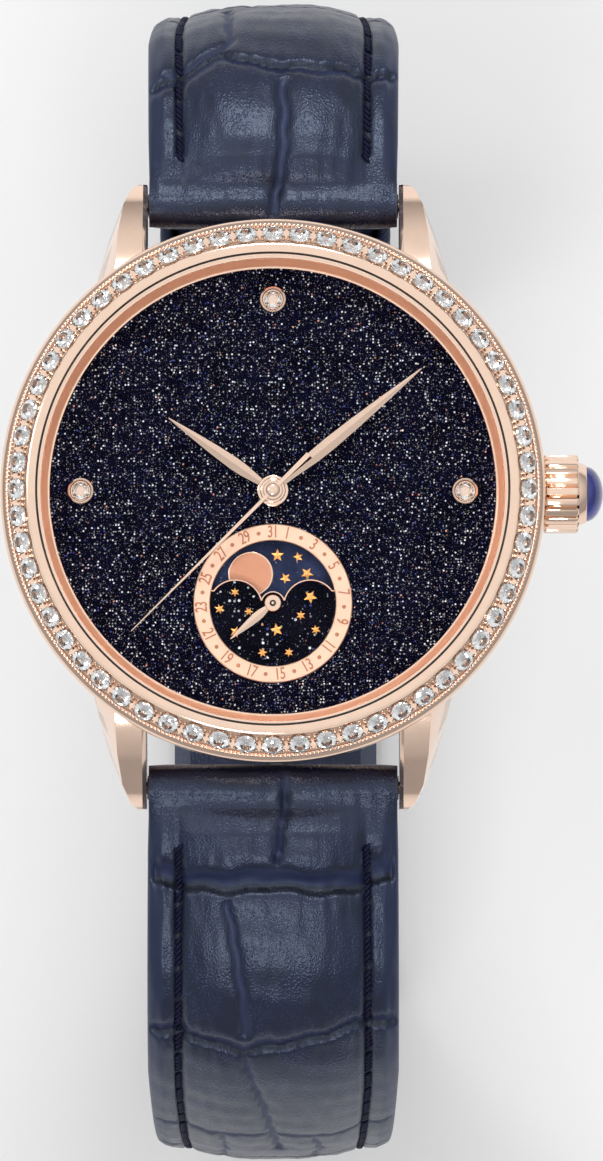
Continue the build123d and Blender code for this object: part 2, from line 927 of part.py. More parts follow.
def cock_face():
    """Outline of the balance cock: a round head and a foot out at the rim."""
    reach = hypot(balance_place[0], balance_place[1])
    foot = Pos((reach + movement_radius) / 2, 0) * Rectangle(movement_radius - reach, cock_width)
    head = Pos(reach, 0) * Circle(cock_width / 2)
    return Rot(0, 0, escapement_angle) * (foot + head) & Circle(movement_radius)


def bridge_screw_places():
    """Places of the screws that hold the bridges to the plate's rim."""
    return [polar(rim_screw_radius, angle) for angle in bridge_screw_angles]


def drilled(body, places, radius, level, height):
    """Body with a round hole at each place."""
    for place in places:
        body -= disc(radius, height, level, place)
    return body


def barrel_bridge():
    """Bridge with holes for the barrel arbor, the crown wheel and its screws."""
    body = plate(bridge_face(barrel_bridge_shares), bridge_thickness, bridge_level)
    body -= disc(barrel_pivot_radius + running_gap, bridge_thickness, bridge_level, barrel_place)
    body -= disc(crown_wheel_skirt + wheel_gap, bridge_thickness, bridge_level, crown_wheel_centre)
    body = drilled(body, bridge_screw_places()[:2], screw_shank_radius, bridge_level, bridge_thickness)
    return drilled(body, [click_place], arbor_radius * 2 + running_gap, bridge_level, bridge_thickness)


def train_bridge():
    """Bridge that carries the jewels of the centre, third and escape arbors."""
    body = plate(bridge_face(train_bridge_shares), bridge_thickness, bridge_level)
    places = [(0, 0), third_place, escape_place]
    body = drilled(body, places, jewel_radius, bridge_level, bridge_thickness)
    return drilled(body, bridge_screw_places()[2:4], screw_shank_radius, bridge_level, bridge_thickness)


def balance_cock():
    """Cock over the balance, with the stud of the hairspring."""
    body = plate(cock_face(), bridge_thickness, bridge_level)
    body = drilled(body, [balance_place], jewel_radius, bridge_level, bridge_thickness)
    body = drilled(body, bridge_screw_places()[4:], screw_shank_radius, bridge_level, bridge_thickness)
    stud_reach = hairspring_outer + hairspring_strip + arbor_radius
    stud = polar(stud_reach, escapement_angle, balance_place)
    return body + disc(arbor_radius, level_gap + hairspring_height, bridge_top, stud)


def pallet_cock():
    """Small bridge across the pallet fork, on two posts."""
    post = pallet_distance * pallet_post_share
    post_radius = jewel_radius * pallet_post_radius_share
    width = 2 * jewel_radius
    thickness = wheel_thickness + pinion_reach
    bottom = escape_level - level_gap - thickness
    bar = extrude(Rectangle(width, 2 * post + width), thickness)
    for side in (1, -1):
        bar += disc(post_radius, plate_level - bottom, 0, (0, side * post))
    bar = drilled(bar, [(0, 0)], jewel_bore, 0, thickness)
    return Pos(pallet_place[0], pallet_place[1], bottom) * Rot(0, 0, escapement_angle) * bar


def mainplate():
    """Plate with a deep rim, the crown wheel's pillar and posts for the motion works."""
    bore = centre_tube_radius + running_gap
    rim = movement_radius - plate_rim_width
    body = turned([
        (bore, plate_level),
        (rim, plate_level),
        (rim, bridge_top),
        (movement_radius, bridge_top),
        (movement_radius, plate_top),
        (bore, plate_top),
    ])
    body += disc(crown_wheel_pillar, plate_level - ratchet_level, ratchet_level, crown_wheel_centre)
    post_top = hour_level + wheel_thickness + pinion_reach
    body += disc(minute_post_radius, post_top - plate_top, plate_top, motion_place)
    calendar_top = moon_level + moon_disc_thickness
    body += disc(calendar_post_radius, calendar_top - plate_top, plate_top, calendar_place)
    jewelled = [third_place, escape_place, pallet_place, balance_place]
    body = drilled(body, jewelled, jewel_radius, plate_level, plate_thickness)
    body = drilled(body, [subdial_place], date_arbor_radius + running_gap, plate_level, plate_thickness)
    body = drilled(body, [barrel_place], barrel_pivot_radius + running_gap, plate_level, plate_thickness)
    body = drilled(body, bridge_screw_places(), screw_shank_radius, bridge_top,
                   screw_length - bridge_thickness + running_gap)
    window_width = 2 * (winding_pinion_radius + level_gap)
    window_length = winding_pinion_length + 4 * level_gap
    middle = winding_pinion_place + winding_pinion_length / 2
    body -= Pos(middle, 0, plate_top) * Box(window_length, window_width, 2 * plate_thickness)
    reach = movement_radius + overrun
    return body - rod_x(stem_radius + running_gap, winding_pinion_place, reach, 0, stem_level)


def movement_ring():
    """Ring that holds the movement in the case and carries the dial."""
    bottom = dial_level - movement_ring_height
    body = disc(cavity_radius - running_gap, movement_ring_height, bottom,
                bore=movement_radius + running_gap)
    return body - rod_x(crown_tube_radius, 0, case_radius, 0, stem_level)


def jewels():
    """Bearing stones of the train, the pallets and the balance."""
    face = RegularPolygon(jewel_radius, jewel_sides) - RegularPolygon(jewel_bore, jewel_sides)
    stones = []
    for place in [(0, 0), third_place, escape_place, balance_place]:
        stones.append(plate(face, bridge_thickness, bridge_level, place))
    for place in [third_place, escape_place, pallet_place, balance_place]:
        stones.append(plate(face, jewel_thickness, plate_level, place))
    return stones


def movement_screws():
    """Screws of the bridges, the ratchet wheel and the crown wheel."""
    head = RegularPolygon(screw_head_radius, screw_sides)
    shank = RegularPolygon(screw_shank_radius, screw_sides)
    screws = []
    for place in bridge_screw_places():
        screw = plate(head, screw_head_height, bridge_level - screw_head_height, place)
        screws.append(screw + plate(shank, screw_length, bridge_level, place))
    screws.append(disc(wheel_screw_head_radius, screw_head_height, ratchet_level - screw_head_height,
                       crown_wheel_centre))
    return screws


def rotor_bearing():
    """Post on the train bridge that the rotor turns on."""
    post = disc(bearing_radius, bridge_level - rotor_level, rotor_level)
    return post + disc(bearing_flange_radius, bearing_flange, bridge_level - bearing_flange)


def rotor():
    """Half-round winding weight with a heavy rim."""
    rim = rotor_radius - rotor_rim_width
    bore = bearing_radius + running_gap
    half = revolve(Plane.XZ * Polygon([
        (bore, rotor_level),
        (rotor_radius, rotor_level),
        (rotor_radius, rotor_level + rotor_rim),
        (rim, rotor_level + rotor_rim),
        (rim, rotor_level + rotor_web),
        (bore, rotor_level + rotor_web),
    ], align=None), Axis.Z, 180)
    hub = disc(rotor_hub_radius, rotor_web, rotor_level, bore=bore)
    return Rot(0, 0, rotor_angle) * (half + hub)


# Train

def arbor(place, start, end):
    """Thin arbor from one level up to another."""
    return disc(arbor_radius, end - start, start, place)


def pivot_start():
    """Level of the arbors' lower ends, in the bridge."""
    return bridge_top - pivot_depth


def pivot_end():
    """Level of the arbors' upper ends, in the plate."""
    return plate_level + jewel_thickness


def barrel():
    """Toothed drum that holds the mainspring, and its cover."""
    radius = barrel_module * (barrel_teeth / 2 - tooth_root_share) - pinion_reach
    bottom = barrel_level + barrel_wall
    drum = disc(radius, barrel_top - bottom, bottom, barrel_place)
    drum -= disc(radius - barrel_wall, barrel_top - barrel_flange - bottom, bottom, barrel_place)
    turn = toward(barrel_place, (0, 0))
    drum += plate(gear_face(barrel_teeth, barrel_module), barrel_flange, barrel_top - barrel_flange,
                  barrel_place, turn)
    drum -= disc(barrel_pivot_radius + running_gap, barrel_height + overrun, barrel_level, barrel_place)
    cover = disc(radius, barrel_wall, barrel_level, barrel_place, barrel_pivot_radius + running_gap)
    return [drum, cover]


def barrel_inside():
    """Lower and upper level of the space inside the barrel."""
    return barrel_level + barrel_wall + pinion_reach, barrel_top - barrel_flange - pinion_reach


def ratchet_wheel():
    """Ratchet wheel with the barrel arbor that it turns."""
    turn = toward(barrel_place, crown_wheel_centre)
    wheel = plate(gear_face(ratchet_teeth, ratchet_module), ratchet_thickness, ratchet_level,
                  barrel_place, turn)
    low, high = barrel_inside()
    top = plate_level + plate_thickness / 2
    wheel += disc(barrel_pivot_radius, top - ratchet_level, ratchet_level, barrel_place)
    return wheel + disc(barrel_arbor_radius, high - low, low, barrel_place)


def mainspring():
    """Wound spring between the barrel arbor and the drum."""
    low, high = barrel_inside()
    radius = barrel_module * (barrel_teeth / 2 - tooth_root_share) - pinion_reach - barrel_wall
    face = spiral_face(barrel_arbor_radius + pinion_reach, radius - mainspring_strip - pinion_reach,
                       mainspring_turns, mainspring_strip, mainspring_steps)
    return plate(face, high - low, low, barrel_place)


def centre_wheel():
    """Centre wheel and pinion on a tube, which turns once an hour."""
    pinion_start = barrel_top - barrel_flange - pinion_reach
    wheel = plate(gear_face(centre_teeth, centre_module), wheel_thickness, centre_level, turn=third_angle)
    phase = barrel_angle + 180 / centre_pinion_teeth
    wheel += plate(gear_face(centre_pinion_teeth, barrel_module), centre_level - pinion_start,
                   pinion_start, turn=phase)
    wheel += disc(centre_tube_radius, minute_hand_level - pinion_start, pinion_start)
    return wheel - disc(centre_tube_bore, minute_hand_level, pinion_start - overrun)


def third_wheel():
    """Third wheel and pinion."""
    wheel = plate(gear_face(third_teeth, third_module), wheel_thickness, third_level, third_place,
                  toward(third_place, (0, 0)))
    phase = toward(third_place, (0, 0)) + 180 / third_pinion_teeth
    start = centre_level - pinion_reach
    height = wheel_thickness + 2 * pinion_reach
    wheel += plate(gear_face(third_pinion_teeth, centre_module), height, start, third_place, phase)
    return wheel + arbor(third_place, pivot_start(), pivot_end())


def fourth_wheel():
    """Fourth wheel and pinion, whose long arbor carries the second hand."""
    wheel = plate(gear_face(fourth_teeth, fourth_module), wheel_thickness, fourth_level,
                  turn=escapement_angle)
    phase = third_angle + 180 / fourth_pinion_teeth
    wheel += plate(gear_face(fourth_pinion_teeth, third_module), fourth_pinion_height,
                   third_level - pinion_reach, turn=phase)
    return wheel + arbor((0, 0), pivot_start(), second_hand_level + second_hand_thickness)


def escape_wheel():
    """Escape wheel with 15 leaning teeth, and its pinion."""
    teeth = star_face(escape_teeth, escape_radius, escape_tooth_depth, escape_lean_share)
    wheel = plate(teeth, wheel_thickness, escape_level, escape_place)
    phase = escapement_angle + 180 + 180 / escape_pinion_teeth
    height = wheel_thickness + 2 * pinion_reach
    wheel += plate(gear_face(escape_pinion_teeth, fourth_module), height, fourth_level - pinion_reach,
                   escape_place, phase)
    return wheel + arbor(escape_place, pivot_start(), pivot_end())


def pallet_fork():
    """Anchor with two pallets, and a lever that ends in a fork."""
    tip = escape_radius * pallet_tip_share
    upper = [(tip * x, tip * y) for x, y in anchor_shares]
    anchor = outline(upper + [(x, -y) for x, y in reversed(upper)])
    notch = balance_distance - impulse_pin_orbit - 2 * impulse_pin_radius
    slot = 3 * impulse_pin_radius
    horn = notch + 2 * impulse_pin_radius
    lever = Pos(-notch / 2, 0) * Rectangle(notch, slot)
    fork = Pos(-notch, 0) * Rectangle(2 * (horn - notch), 3 * slot)
    fork -= Pos(-horn, 0) * Rectangle(2 * (horn - notch), slot)
    body = extrude(anchor + lever + fork, wheel_thickness)
    body = Pos(pallet_place[0], pallet_place[1], escape_level) * Rot(0, 0, escapement_angle + 180) * body
    start = escape_level - level_gap - wheel_thickness
    return body + arbor(pallet_place, start, pivot_end())


def balance_wheel():
    """Balance with two arms, its staff, roller and impulse pin."""
    inner = balance_radius - balance_rim_width
    wheel = disc(balance_radius, balance_rim_height, balance_level, bore=inner)
    arm_level = balance_level + (balance_rim_height - balance_arm_height) / 2
    wheel += plate(Rectangle(2 * inner + balance_rim_width, balance_arm_width), balance_arm_height,
                   arm_level)
    roller_level = escape_level - level_gap - roller_thickness
    wheel += disc(roller_radius, roller_thickness, roller_level)
    pin_height = roller_thickness + level_gap + wheel_thickness
    wheel += disc(impulse_pin_radius, pin_height, roller_level, polar(impulse_pin_orbit, 180))
    wheel = Pos(balance_place[0], balance_place[1], 0) * Rot(0, 0, escapement_angle) * wheel
    return wheel + arbor(balance_place, pivot_start(), pivot_end())


def hairspring():
    """Spiral balance spring with its collet."""
    face = spiral_face(hairspring_inner, hairspring_outer, hairspring_turns, hairspring_strip,
                       hairspring_steps)
    collet = Circle(hairspring_inner + hairspring_strip / 2) - Circle(arbor_radius)
    return plate(face + collet, hairspring_height, hairspring_level, balance_place, escapement_angle)


# Winding and setting

def crown_wheel():
    """Wheel with spur teeth for the ratchet wheel and contrate teeth for the stem's pinion."""
    level = ratchet_level + pinion_reach / 2
    turn = toward(crown_wheel_centre, barrel_place) + 180 / crown_wheel_teeth
    wheel = plate(gear_face(crown_wheel_teeth, ratchet_module), ratchet_thickness, level,
                  crown_wheel_centre, turn)
    contrate_top = stem_level - winding_pinion_radius - pinion_reach
    skirt_top = contrate_top - contrate_height
    wheel += disc(crown_wheel_skirt, skirt_top - level, level, crown_wheel_centre)
    module = 2 * crown_wheel_skirt / (crown_wheel_contrate_teeth + 2 * tooth_tip_share)
    contrate = gear_face(crown_wheel_contrate_teeth, module)
    wheel += plate(contrate, contrate_height, skirt_top, crown_wheel_centre)
    room = disc(crown_wheel_skirt_bore, contrate_top - level, level + ratchet_thickness,
                crown_wheel_centre)
    wheel -= room
    return wheel - disc(crown_wheel_pillar + running_gap, ratchet_thickness + overrun,
                        level - overrun / 2, crown_wheel_centre)


def winding_pinion():
    """Pinion that the stem turns."""
    module = 2 * winding_pinion_radius / (winding_pinion_teeth + 2 * tooth_tip_share)
    face = gear_face(winding_pinion_teeth, module) - Circle(stem_radius + running_gap)
    pinion = extrude(face, winding_pinion_length)
    return Pos(winding_pinion_place, 0, stem_level) * Rot(0, 90, 0) * pinion


def crown_start():
    """Place along X of the crown's inner end."""
    return case_radius + crown_gap


def winding_stem():
    """Stem from the winding pinion out to the crown."""
    end = crown_start() + crown_length
    return rod_x(stem_radius, winding_pinion_place - overrun, end, 0, stem_level)


def crown():
    """Fluted crown with a collar round its stone."""
    valley = crown_radius - crown_flute_depth
    points = []
    for flute in range(crown_flutes):
        corners = ((-crown_rib_share, crown_radius), (crown_rib_share, crown_radius), (1 / 2, valley))
        for share, radius in corners:
            points.append(polar(radius, 360 * (flute + share) / crown_flutes))
    grip = extrude(outline(points), crown_length)
    grip += disc(crown_collar_radius, crown_collar_length, crown_length)
    grip -= disc(crown_bore, crown_pull + crown_gap, 0)
    grip -= disc(stem_radius, crown_length, 0)
    return Pos(crown_start(), 0, stem_level) * Rot(0, 90, 0) * grip


def crown_cabochon():
    """Domed stone in the end of the crown."""
    dome = [
        (cabochon_radius * cos(radians(angle)), cabochon_height * sin(radians(angle)))
        for angle in range(0, 90, cabochon_step)
    ]
    stone = turned([(0, 0)] + dome + [(0, cabochon_height)])
    start = crown_start() + crown_length + crown_collar_length
    return Pos(start, 0, stem_level) * Rot(0, 90, 0) * stone


def crown_seal():
    """Ring in the crown that runs on the crown tube."""
    ring = Circle(crown_bore) - Circle(crown_tube_radius + running_gap)
    seal = extrude(ring, seal_length)
    return Pos(crown_start(), 0, stem_level) * Rot(0, 90, 0) * seal


def click():
    """Pawl that holds the ratchet wheel, with its pivot."""
    reach = click_reach - ratchet_module * (ratchet_teeth / 2 + tooth_tip_share) - level_gap
    beak = outline([(reach * x, click_radius * y) for x, y in click_beak_shares])
    body = plate(Circle(click_radius) + beak, ratchet_thickness, ratchet_level, click_place,
                 click_angle + 180)
    return body + disc(arbor_radius * 2, bridge_thickness + level_gap, bridge_level - level_gap,
                       click_place)


# Motion works and calendar

def cannon_pinion():
    """Tube on the centre wheel's tube, which carries the minute hand."""
    bottom = plate_top + pinion_reach
    phase = motion_angle + 180 / cannon_teeth
    height = minute_level + wheel_thickness + pinion_reach - bottom
    body = plate(gear_face(cannon_teeth, cannon_module), height, bottom, turn=phase)
    body += disc(cannon_radius, minute_hand_level + minute_hand_thickness - bottom, bottom)
    return body - disc(centre_tube_radius, minute_hand_level, bottom - overrun)


def minute_wheel():
    """Wheel and pinion between the cannon pinion and the hour wheel."""
    wheel = plate(gear_face(minute_wheel_teeth, cannon_module), wheel_thickness, minute_level,
                  motion_place, toward(motion_place, (0, 0)))
    phase = toward(motion_place, (0, 0)) + 180 / minute_pinion_teeth
    top = hour_level + wheel_thickness + pinion_reach
    wheel += plate(gear_face(minute_pinion_teeth, hour_module), top - minute_level - wheel_thickness,
                   minute_level + wheel_thickness, motion_place, phase)
    return wheel - disc(minute_post_radius + running_gap, top, minute_level - overrun, motion_place)


def hour_wheel():
    """Wheel on the tube that carries the hour hand."""
    wheel = plate(gear_face(hour_wheel_teeth, hour_module), wheel_thickness, hour_level,
                  turn=motion_angle)
    wheel += disc(hour_tube_radius, hour_hand_level + hour_hand_thickness - hour_level, hour_level)
    return wheel - disc(hour_tube_bore, hour_hand_level, hour_level - overrun)


def finger(reach, width, height):
    """Driving finger along +X from an arbor."""
    return extrude(Pos(reach / 2, 0) * Rectangle(reach, width), height)


def calendar_wheel():
    """Wheel that turns once a day, with a finger for the date and one for the moon."""
    wheel = plate(gear_face(calendar_teeth, hour_module), wheel_thickness, hour_level,
                  turn=calendar_angle + 180 + 180 / calendar_teeth)
    wheel += disc(calendar_hub_radius, moon_level - minute_level + finger_height, minute_level)
    gap = hypot(calendar_place[0] - subdial_place[0], calendar_place[1] - subdial_place[1])
    moon_reach = gap - moon_disc_radius + finger_bite
    date_reach = gap - date_star_radius + finger_bite
    for reach, level, turn in ((moon_reach, moon_level, moon_finger_angle),
                               (date_reach, minute_level, date_finger_angle)):
        wheel += Pos(0, 0, level) * Rot(0, 0, turn) * finger(reach, finger_width, finger_height)
    wheel -= disc(calendar_post_radius + running_gap, moon_level, minute_level - overrun)
    return Pos(calendar_place[0], calendar_place[1], 0) * wheel


def jumper(centre, radius, angle, level, top):
    """Thin spring with a beak in the teeth of a star, on a foot on the plate."""
    beak_root = radius + level_gap + jumper_width
    arm = Pos(beak_root, jumper_length / 2) * Rectangle(jumper_width, jumper_length)
    beak = outline([
        (beak_root, -jumper_width),
        (beak_root, jumper_width),
        (radius + running_gap - jumper_width / 2, 0),
    ])
    spring = extrude(arm + beak, top - level)
    foot = disc(jumper_foot_radius, top - plate_top, plate_top - level, (beak_root, jumper_length))
    return Pos(centre[0], centre[1], level) * Rot(0, 0, angle) * (spring + foot)


def jumper_springs():
    """The two springs that steady the date star and the moon disc."""
    date_angle = 360 * (date_jumper_tooth + 1 / 2) / date_star_teeth
    moon_side = 360 * (moon_jumper_tooth + 1 / 2) / moon_disc_teeth
    date = jumper(subdial_place, date_star_radius, date_angle, minute_level,
                  minute_level + wheel_thickness)
    moon = jumper(subdial_place, moon_disc_radius, moon_side, moon_level,
                  moon_level + moon_disc_thickness)
    return [date, moon]


# Strap

def strap_stations(runs):
    """Stations of a strap's middle line: length so far, y, z and heading in degrees below outward."""
    y = bar_reach
    z = bar_level
    heading = strap_heading
    length = 0
    stations = [(length, y, z, heading)]
    for size, end_heading in runs:
        turn = end_heading - heading
        steps = max(1, ceil(turn / strap_step))
        for step in range(steps):
            old = heading
            heading = old + turn / steps
            if turn == 0:
                y += size * cos(radians(heading))
                z -= size * sin(radians(heading))
                length += size
            else:
                y += size * (sin(radians(heading)) - sin(radians(old)))
                z -= size * (cos(radians(old)) - cos(radians(heading)))
                length += size * radians(heading - old)
            stations.append((length, y, z, heading))
        heading = end_heading
    return stations


def side_radius(start, bend_radius, side_heading, foot_heading, foot_radius, straight=0):
    """Radius of a half's long side arc, so that its foot comes down to the stand level."""
    def fall(radius, first, last):
        return radius * (cos(radians(first)) - cos(radians(last)))
    known = start * sin(radians(strap_heading)) + straight * sin(radians(foot_heading))
    known += fall(bend_radius, strap_heading, side_heading) + fall(foot_radius, foot_heading, 180)
    return (bar_level - stand_level - known) / fall(1, side_heading, foot_heading)


def short_runs():
    """Runs and arcs of the 12 o'clock half."""
    side = side_radius(short_start, short_bend_radius, short_side_heading, short_keeper_heading,
                       short_foot_radius, short_keeper_run)
    return [
        (short_start, strap_heading),
        (short_bend_radius, short_side_heading),
        (side, short_keeper_heading),
        (short_keeper_run, short_keeper_heading),
        (short_foot_radius, 180),
        (short_end, 180),
    ]


def tail_runs():
    """Runs and arcs of the 6 o'clock half, whose tip stops short of the buckle."""
    side = side_radius(tail_start, tail_bend_radius, tail_side_heading, tail_foot_heading,
                       tail_foot_radius)
    runs = [
        (tail_start, strap_heading),
        (tail_bend_radius, tail_side_heading),
        (side, tail_foot_heading),
        (tail_foot_radius, 180),
    ]
    reach = strap_stations(runs)[-1][1]
    end = reach + buckle_place()[0] - buckle_length - tail_buckle_gap
    return runs + [(end, 180)]


def strap_size(length, thick_length, thin_length):
    """Width, inner side, edge and crown of a strap half at a length from its bar."""
    lug_strap = lug_gap - 2 * strap_side_gap
    rows = [
        (0, lug_strap, strap_loop_radius * strap_loop_share, strap_loop_radius * strap_loop_edge_share,
         strap_loop_radius * strap_loop_share),
        (pad_start, lug_strap, strap_pad_inner, strap_pad_edge, strap_pad_crown),
        (thick_length, strap_pad_width, strap_pad_inner, strap_pad_edge, strap_pad_crown),
        (thin_length, strap_end_width, strap_thin_inner, strap_thin_edge, strap_thin_crown),
    ]
    for low, high in zip(rows, rows[1:]):
        if length <= high[0]:
            share = (length - low[0]) / (high[0] - low[0])
            return [a + (b - a) * share for a, b in zip(low[1:], high[1:])]
    return list(rows[-1][1:])


def station_plane(y, z, heading):
    """Plane across the strap, with its local Y towards the outer side."""
    way = (0, cos(radians(heading)), -sin(radians(heading)))
    return Plane(origin=(0, y, z), x_dir=(-1, 0, 0), z_dir=way)


def strap_section(spot, width, inner, edge, crown):
    """Corners of a strap's section at a station: flat inside, padded outside."""
    half = width / 2
    shoulder = edge + (crown - edge) * strap_shoulder_share
    side = [
        (half, -inner),
        (half, edge),
        (half * strap_shoulder_share, shoulder),
        (half * strap_crown_share, crown),
    ]
    corners = side + [(-x, y) for x, y in reversed(side)]
    across = station_plane(*spot[1:])
    return [across.from_local_coords((x, y, 0)).to_tuple() for x, y in corners]


def station_at(stations, length):
    """Station at a length along a strap, between two worked out stations."""
    for low, high in zip(stations, stations[1:]):
        if length <= high[0]:
            share = (length - low[0]) / (high[0] - low[0])
            return [a + (b - a) * share for a, b in zip(low, high)]
    return list(stations[-1])


def strap_body(stations, thick_length, thin_length, rounded_tip):
    """Loft of a strap half along its stations, with the loop round the spring bar."""
    total = stations[-1][0]
    spots = [station for station in stations if station[0] > 0]
    spots.insert(0, station_at(stations, pad_start))
    if rounded_tip:
        spots = [spot for spot in spots if spot[0] < total - tail_tip_length]
        spots.append(station_at(stations, total - tail_tip_length))
        spots.append(station_at(stations, total - tail_tip_length * tail_tip_shares[0]))
        spots.append(stations[-1])
    start = stations[0]
    sections = []
    for spot in [start] + spots:
        width, inner, edge, crown = strap_size(spot[0], thick_length, thin_length)
        if rounded_tip and spot is spots[-2]:
            width *= tail_tip_shares[1]
        if rounded_tip and spot is spots[-1]:
            width *= tail_tip_shares[3]
        sections.append(strap_section(spot, width, inner, edge, crown))
    body = faceted(sections)
    half = lug_gap / 2 - strap_side_gap
    body += rod_x(strap_loop_radius, -half, half, bar_reach, bar_level)
    return body - rod_x(bar_radius + strap_bore_gap, -lug_gap, lug_gap, bar_reach, bar_level)


def buckle_place():
    """Y and Z of the buckle's bar, at the end of the 12 o'clock half."""
    last = strap_stations(short_runs())[-1]
    return last[1], last[2]


def strap_buckle_side():
    """12 o'clock half, with a loop round the buckle's bar and a slot for the tongue."""
    stations = strap_stations(short_runs())
    body = strap_body(stations, short_thick_length, short_thin_length, False)
    y, z = buckle_place()
    half = strap_end_width / 2
    body += rod_x(buckle_loop_radius, -half, half, y, z)
    body -= rod_x(buckle_bar_radius + strap_bore_gap, -lug_gap, lug_gap, y, z)
    slot_height = 4 * buckle_loop_radius
    return body - Pos(0, y, z) * Box(tongue_slot, 2 * tongue_slot_reach, slot_height)


def strap_tail_side():
    """6 o'clock half with its holes, built on the 12 o'clock side and mirrored."""
    stations = strap_stations(tail_runs())
    body = strap_body(stations, tail_thick_length, tail_thin_length, True)
    for index in range(tail_hole_count):
        spot = station_at(stations, tail_hole_start + tail_hole_spacing * index)
        across = station_plane(*spot[1:])
        depth = 4 * strap_pad_crown
        body -= across * Rot(90, 0, 0) * Cylinder(tail_hole_radius, depth)
    return mirror(body, about=Plane.XZ)


def keeper(place, gap):
    """Leather ring across the strap, with room for the tail on the outer side."""
    spot = station_at(strap_stations(short_runs()), place)
    width, inner, edge, crown = strap_size(spot[0], short_thick_length, short_thin_length)
    low = -inner - gap
    high = crown + keeper_tail_room
    middle = (low + high) / 2
    hole = Rectangle(width + 2 * keeper_gap, high - low)
    ring = Rectangle(width + 2 * keeper_gap + 2 * keeper_wall, high - low + 2 * keeper_wall) - hole
    body = extrude(Pos(0, middle) * ring, keeper_length / 2, both=True)
    return station_plane(*spot[1:]) * body


def buckle_frame():
    """Frame with two ears, and a notch for the tongue in its front bar."""
    y, z = buckle_place()
    opening = strap_end_width + 2 * buckle_side_gap
    width = opening + 2 * buckle_side_width
    front = y - buckle_length
    rear = y + buckle_rear
    corner = buckle_rear * buckle_corner_share
    shape = Pos(0, (front + rear) / 2) * RectangleRounded(width, rear - front, corner)
    hole_front = front + buckle_front_width
    hole = Pos(0, (hole_front + rear + overrun) / 2) * Rectangle(opening, rear + overrun - hole_front)
    bottom = z - buckle_loop_radius
    body = plate(shape - hole, buckle_height, bottom)
    notch_depth = tongue_thickness + running_gap
    notch = Box(tongue_width + 2 * level_gap, 2 * buckle_front_width + 2 * overrun, 2 * notch_depth)
    body -= Pos(0, front, bottom) * notch
    return body - rod_x(buckle_bar_radius, -width, width, y, z)


def buckle_bar():
    """Bar across the frame, which the strap's end and the tongue go round."""
    y, z = buckle_place()
    half = strap_end_width / 2 + buckle_side_gap + buckle_side_width - level_gap
    return rod_x(buckle_bar_radius, -half, half, y, z)


def buckle_tongue():
    """Tongue with a barrel round the bar, lying in the frame's notch."""
    y, z = buckle_place()
    half = tongue_width / 2
    barrel_body = rod_x(tongue_barrel_radius, -half, half, y, z)
    bottom = z - buckle_loop_radius
    length = buckle_length - tongue_overhang
    arm = Pos(0, y - length / 2, bottom + tongue_thickness / 2) * Box(tongue_width, length, tongue_thickness)
    return arm + barrel_body - rod_x(buckle_bar_radius + running_gap, -half, half, y, z)


# Every piece, by the name of its node
pieces = {
    "case_middle": case_middle,
    "bezel": bezel,
    "bezel_stones": bezel_stones,
    "crystal": crystal,
    "crystal_gasket": crystal_gasket,
    "rehaut_ring": rehaut_ring,
    "case_back": case_back,
    "case_back_glass": case_back_glass,
    "spring_bars": spring_bars,
    "crown_tube": crown_tube,
    "movement_ring": movement_ring,
    "dial": dial,
    "hour_markers": hour_markers,
    "marker_stones": marker_stones,
    "date_ring": date_ring,
    "moon_mask": moon_mask,
    "mainplate": mainplate,
    "barrel_bridge": barrel_bridge,
    "train_bridge": train_bridge,
    "balance_cock": balance_cock,
    "pallet_cock": pallet_cock,
    "jewels": jewels,
    "movement_screws": movement_screws,
    "rotor_bearing": rotor_bearing,
    "rotor": rotor,
    "click": click,
    "jumper_springs": jumper_springs,
    "ratchet_wheel": ratchet_wheel,
    "crown_wheel": crown_wheel,
    "winding_pinion": winding_pinion,
    "winding_stem": winding_stem,
    "crown": crown,
    "crown_cabochon": crown_cabochon,
    "crown_seal": crown_seal,
    "barrel": barrel,
    "mainspring": mainspring,
    "centre_wheel": centre_wheel,
    "third_wheel": third_wheel,
    "fourth_wheel": fourth_wheel,
    "escape_wheel": escape_wheel,
    "pallet_fork": pallet_fork,
    "balance_wheel": balance_wheel,
    "hairspring": hairspring,
    "cannon_pinion": cannon_pinion,
    "minute_wheel": minute_wheel,
    "hour_wheel": hour_wheel,
    "calendar_wheel": calendar_wheel,
    "date_star": date_star,
    "moon_disc": moon_disc,
    "hour_hand": lambda: hand(hour_hand_length, hour_hand_width, hour_hand_thickness,
                              hour_collet_radius, hour_tube_radius, hour_hand_angle, hour_hand_level),
    "minute_hand": lambda: hand(minute_hand_length, minute_hand_width, minute_hand_thickness,
                                minute_collet_radius, cannon_radius, minute_hand_angle,
                                minute_hand_level),
    "second_hand": second_hand,
    "date_hand": date_hand,
    "strap_buckle_side": strap_buckle_side,
    "strap_tail_side": strap_tail_side,
    "fixed_keeper": lambda: keeper(fixed_keeper_place, 0),
    "free_keeper": lambda: keeper(free_keeper_place, keeper_gap),
    "buckle_frame": buckle_frame,
    "buckle_bar": buckle_bar,
    "buckle_tongue": buckle_tongue,
}

os.makedirs("parts", exist_ok=True)
for name, make in pieces.items():
    made = make()
    if isinstance(made, list):
        made = Compound(children=made)
    export_step(made, "parts/" + name + ".step")
    print(name)

spring_pitch = (hairspring_outer - hairspring_inner) / hairspring_turns
print("least gap between the hairspring's turns", round(spring_pitch - hairspring_strip, 3))
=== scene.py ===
"""Visual model of a moon phase wristwatch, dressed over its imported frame.

Every piece is modelled in millimetres and brought to the frame's metres when it is settled.
"""

from __future__ import annotations

import logging
import math
import random
from collections.abc import Callable, Iterable, Iterator, Sequence
from contextlib import contextmanager
from dataclasses import dataclass, field
from enum import Enum

import bmesh
import bpy
import numpy as np
from mathutils import Matrix, Vector


